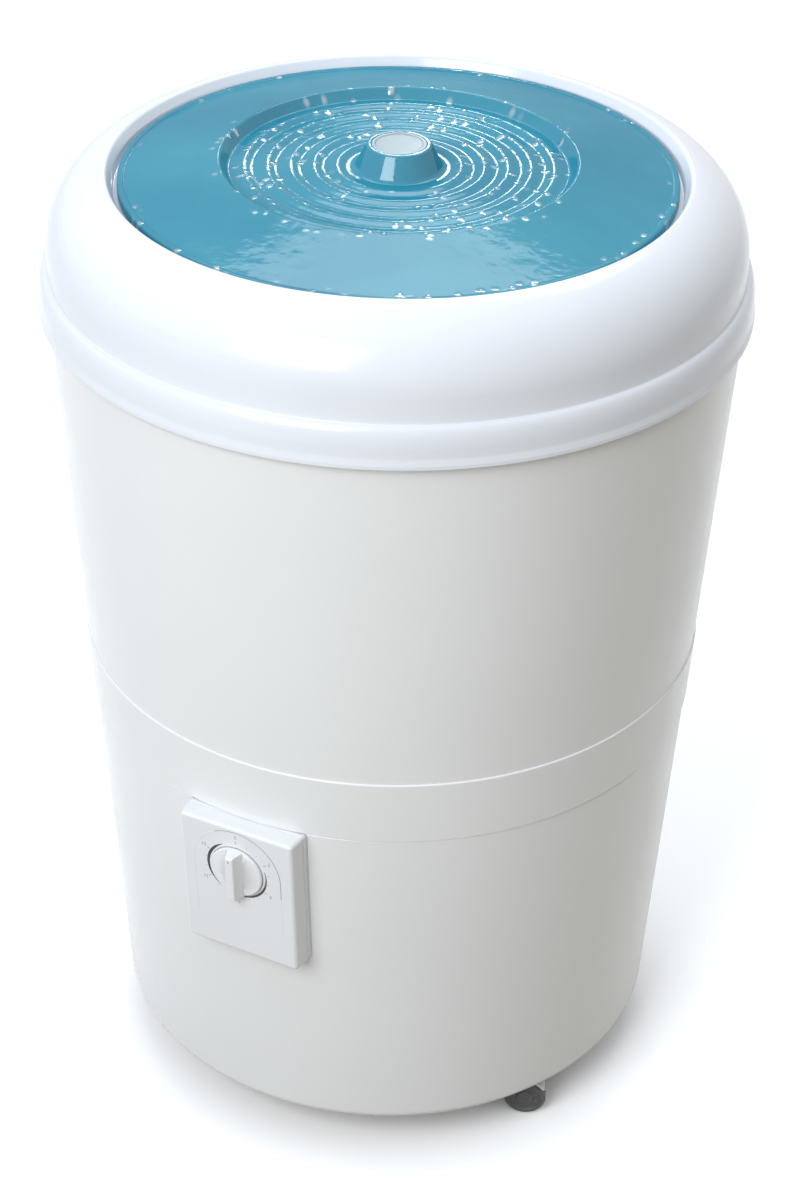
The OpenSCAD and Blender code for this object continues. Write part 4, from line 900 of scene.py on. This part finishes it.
def make_arch():
    """The fine rib that arches over the dial, printed grey over the dial's right side."""
    leg = math.degrees((DIAL_V + PANEL_H / 2 - ARCH_STOP) / ARCH_R)
    out = ON_FACE.to_3x3() @ Vector((0, 0, 1))
    parts = (("dial_arch", -ARCH_LEG, ARCH_TOP, "mark_grey"),
             ("dial_arch_left", ARCH_TOP, 180 + leg, "panel_white"),
             ("dial_arch_foot", -leg, -ARCH_LEG, "panel_white"))
    for name, start, end, look in parts:
        bm = bmesh.new()
        sweep(bm, arch_line(start, end), out, ARCH_W, ARCH_H)
        finish_piece(mesh_object(name, bm), MATERIALS[look], "machine", "panel_white")


def make_dial_lip():
    """The panel's lip round the knob, which all but closes the gap behind it."""
    bm = bmesh.new()
    inner, outer = TIMER_KNOB_R + 0.2, DIAL_HOLE_R + 0.4
    corners = ((outer, LIP_TOP), (inner, LIP_TOP), (inner, LIP_FOOT), (outer, LIP_FOOT))
    rows = [dial_row(bm, r, z, LIP_COUNT) for r, z in corners]
    skin(bm, rows + rows[:1])
    finish_piece(mesh_object("dial_lip", bm), MATERIALS["panel_white"], "machine", "panel_white")


def make_dial_arcs():
    """Painted shade of the gap round the knob: two dark crescents, one up its left, one round its
    lower right.
    """
    bm = bmesh.new()
    low, high = PRINT_AND_SHADE_HEIGHTS
    for start, end, thick, width in SHADE_CRESCENTS:
        loops = []
        for i in range(SHADE_CRESCENT_STEPS + 1):
            place = start + (end - start) * i / SHADE_CRESCENT_STEPS
            share = min((place - start) / (thick - start), (end - place) / (end - thick))
            half = SHADE_CRESCENT_TIP + width / 2 * math.sin(share * math.pi / 2)
            inner, outer = SHADE_CRESCENT_R - half, SHADE_CRESCENT_R + half
            section = ((inner, low), (outer, low), (outer, high), (inner, high))
            x, y = math.cos(math.radians(place)), math.sin(math.radians(place))
            loops.append([AT_DIAL @ Vector((r * x, r * y, z)) for r, z in section])
        loft(bm, loops)
    finish_piece(mesh_object("dial_gap_shade", bm, smooth=False, weighted=False),
                 MATERIALS["black_plastic"], "machine", "black_plastic")


def print_strip(bm, half, low, high, heights, place):
    """A thin printed strip that points away from the dial's centre, from radius low to high."""
    corners = ((-half, low), (half, low), (half, high), (-half, high))
    loft(bm, [[place @ Vector((x, y, z)) for x, y in corners] for z in heights])


def evaluated_mesh(obj):
    """A new mesh of an object with its modifiers, or of a text."""
    bpy.context.view_layer.update()
    return bpy.data.meshes.new_from_object(
        obj.evaluated_get(bpy.context.evaluated_depsgraph_get()))


def print_number(bm, number, turn):
    """A plain number on the panel, at an angle in degrees about the dial's centre."""
    text = bpy.data.curves.new("number", "FONT")
    text.body = str(number)
    text.size = NUMBER_SIZE * MM
    text.align_x, text.align_y = "CENTER", "CENTER"
    text.extrude = PRINT_T * MM
    text.resolution_u = 6
    holder = bpy.data.objects.new("number", text)
    bpy.context.scene.collection.objects.link(holder)
    shape = evaluated_mesh(holder)
    a = math.radians(turn)
    place = Matrix.Translation(Vector((NUMBER_R * math.cos(a), NUMBER_R * math.sin(a), 0)) * MM)
    dial = AT_DIAL.copy()
    dial.translation = dial.translation * MM
    shape.transform(dial @ place)
    bm.from_mesh(shape)
    bpy.data.objects.remove(holder)
    bpy.data.meshes.remove(shape)
    bpy.data.curves.remove(text)


def make_numbers():
    """Ticks and plain numbers round the dial: 0 to 15 minutes over 300 degrees."""
    bm = bmesh.new()
    for i in range(MARKS):
        big = i % NUMBER_EVERY == 0
        end, half = TICK_LONG if big else TICK_SHORT
        place = AT_DIAL @ Matrix.Rotation(math.radians(-MARK_TURN * i), 4, "Z")
        print_strip(bm, half, TICK_R, end, PRINT_AND_SHADE_HEIGHTS, place)
        if big:
            print_number(bm, i, 90 - MARK_TURN * i)
    finish_piece(mesh_object("dial_numbers", bm, smooth=False, weighted=False),
                 MATERIALS["mark_grey"], "machine", "panel_white")


# The timer knob


def union(obj, other):
    """Joins another closed mesh into obj and drops it."""
    obj.modifiers.clear()
    modifier = obj.modifiers.new("join", "BOOLEAN")
    modifier.operation = "UNION"
    modifier.solver = "EXACT"
    modifier.object = other
    made = evaluated_mesh(obj)
    obj.modifiers.clear()
    obj.data = made
    bpy.data.objects.remove(other)
    weigh_normals(obj)


def grip_loop(half, reach, z, steps=8):
    """The outline of a strip across a disc: half its width, and the disc's radius."""
    a = math.degrees(math.asin(half / reach))
    ends = (arc((0, 0), reach, 90 - a, 90 + a, steps)
            + arc((0, 0), reach, 270 - a, 270 + a, steps))
    return [AT_DIAL @ Vector((x, y, z)) for x, y in ends]


def grip_sections(top, peak):
    """Heights up the grip, with half its width and how far its ends stand in from the rim."""
    half_foot, half_top = GRIP_FOOT_W / 2, GRIP_TOP_W / 2
    sections = [(top - 1.0, half_foot + 0.6, 0.2), (top + 0.4, half_foot + 0.2, 0.2)]
    for i in range(7):
        share = i / 6
        half = half_foot + (half_top - half_foot) * share ** 0.8
        sections.append((top + 1.2 + (GRIP_H - 3.0) * share, half, 0.3 + 0.7 * share))
    for i in range(1, 6):
        a = math.radians(90 * i / 5)
        inset = GRIP_ROUND * (1 - math.cos(a))
        sections.append((peak - GRIP_ROUND + GRIP_ROUND * math.sin(a), half_top - inset,
                         1.0 + inset))
    return sections


def make_knob():
    """The timer knob, its grip and the grey mark on the grip."""
    top = TIMER_KNOB_T - KNOB_SUNK
    peak = top + GRIP_H
    disc = rounded([(0, KNOB_BACK), (TIMER_KNOB_R, KNOB_BACK), (TIMER_KNOB_R, top, 1.6),
                    (0, top + 1)], closed=False)
    knob = lathe("timer_knob_skin", disc, KNOB_SIDES, False, AT_DIAL)
    bm = bmesh.new()
    loft(bm, [grip_loop(half, TIMER_KNOB_R - inset, z)
              for z, half, inset in grip_sections(top, peak)])
    union(knob, mesh_object("grip", bm))
    finish_piece(knob, MATERIALS["knob_white"], "timer", "knob_white", "timer_knob")
    mark = bmesh.new()
    half, near, far = GRIP_MARK
    print_strip(mark, half, TIMER_KNOB_R - near, TIMER_KNOB_R - far, (peak - 0.1, peak + 0.08),
                AT_DIAL)
    finish_piece(mesh_object("knob_mark", mark, smooth=False, weighted=False),
                 MATERIALS["mark_grey"], "timer", "black_plastic")


make_panel()
make_arch()
make_dial_lip()
make_dial_arcs()
make_numbers()
make_knob()


# The camera


def make_camera():
    """The photograph's camera: placed by azimuth, distance and height, then pitched and rolled."""
    data = bpy.data.cameras.new("camera")
    data.sensor_width = SENSOR
    data.lens = FOCAL_PX / PHOTO_H * data.sensor_width
    camera = bpy.data.objects.new("camera", data)
    bpy.context.scene.collection.objects.link(camera)
    turn = Matrix.Rotation(AZIMUTH, 3, "Z")
    aim = Matrix.Rotation(AZIMUTH + SIDE_AIM, 3, "Z")
    forward = aim @ Vector((0, math.cos(PITCH), -math.sin(PITCH)))
    level = aim @ Vector((1, 0, 0))
    up = level.cross(forward)
    right = math.cos(ROLL) * level + math.sin(ROLL) * up
    top = -math.sin(ROLL) * level + math.cos(ROLL) * up
    rotation = Matrix((right, top, -forward)).transposed()
    place = turn @ Vector((0, -CAMERA_DISTANCE, CAMERA_HEIGHT))
    camera.matrix_world = Matrix.Translation(place) @ rotation.to_4x4()
    bpy.context.scene.camera = camera


# The studio: a pale floor, a soft sky that differs from side to side, and soft lamps


def background_rays(n):
    """1 for the rays that see the white background: from the camera, a mirror or a clear piece."""
    ray = n.add("ShaderNodeLightPath")
    value = ray.outputs["Is Camera Ray"]
    for name in ("Is Glossy Ray", "Is Transmission Ray"):
        value = n.calculate("MAXIMUM", value, ray.outputs[name])
    return value


def make_floor():
    """A pale floor that shows white but keeps the shadow, and gives back less than it shows."""
    n = Material("floor_pale")
    seen = background_rays(n)
    n.set(Roughness=0.9, Specular_IOR_Level=0.0)
    brighter = tuple(c * 1.02 for c in FLOOR_COLOUR)
    pale = n.ramp(n.noise(scale=0.8), [(0.0, FLOOR_COLOUR), (1.0, brighter)])
    n.drive(Base_Color=n.blend(seen, FLOOR_BOUNCE, pale))
    lift = n.add("ShaderNodeBsdfDiffuse")
    n.link(n.ramp(seen, [(0.0, OFF), (1.0, FLOOR_LIFT)]), lift.inputs["Color"])
    both = n.add("ShaderNodeAddShader")
    n.link(n.shader.outputs["BSDF"], both.inputs[0])
    n.link(lift.outputs["BSDF"], both.inputs[1])
    n.show(both.outputs["Shader"])
    bm = bmesh.new()
    bmesh.ops.create_grid(bm, x_segments=4, y_segments=4, size=FLOOR_HALF)
    floor = mesh_object("floor", bm, weighted=False)
    floor.data.materials.append(n.material)


def make_world():
    """Sky light that changes from the horizon to the zenith and from the left to the right."""
    world = bpy.data.worlds.new("studio")
    bpy.context.scene.world = world
    world.use_nodes = True
    world.node_tree.nodes.clear()
    n = Nodes(world.node_tree)
    around = n.add("ShaderNodeTexCoord").outputs["Generated"]
    split = n.add("ShaderNodeSeparateXYZ")
    n.link(around, split.inputs["Vector"])
    left, right = (n.ramp(split.outputs["Z"], [(start, low), (SKY_TOP, high)])
                   for low, high, start in (SKY_LEFT, SKY_RIGHT))
    side = n.add("ShaderNodeVectorMath", operation="DOT_PRODUCT")
    n.link(around, side.inputs[0])
    side.inputs[1].default_value = (math.cos(AZIMUTH), math.sin(AZIMUTH), 0)
    share = n.spread(side.outputs["Value"], 0.0, 1.0, start=-SKY_TURN, end=SKY_TURN)
    sky = n.blend(share, left, right)
    back = n.add("ShaderNodeBackground")
    back.inputs["Strength"].default_value = 1.0
    n.link(n.blend(background_rays(n), sky, ON), back.inputs["Color"])
    out = n.add("ShaderNodeOutputWorld")
    n.link(back.outputs["Background"], out.inputs["Surface"])


def make_lamp(name, azimuth, elevation, size, power, colour, aim):
    """A soft rectangular lamp that faces the point it aims at."""
    data = bpy.data.lights.new(name, "AREA")
    data.shape = "RECTANGLE"
    data.size, data.size_y = size
    data.energy = power
    data.color = colour
    lamp = bpy.data.objects.new(name, data)
    bpy.context.scene.collection.objects.link(lamp)
    a = AZIMUTH - math.radians(azimuth)
    e = math.radians(elevation)
    away = Vector((math.sin(a) * math.cos(e), -math.cos(a) * math.cos(e), math.sin(e)))
    lamp.location = Vector(aim) + away * LAMP_DISTANCE
    lamp.rotation_mode = "QUATERNION"
    lamp.rotation_quaternion = (-away).to_track_quat("-Z", "Y")


make_camera()
make_floor()
make_world()
for settings in LAMPS:
    make_lamp(**settings)

scene = bpy.context.scene
scene.view_settings.view_transform = "Standard"
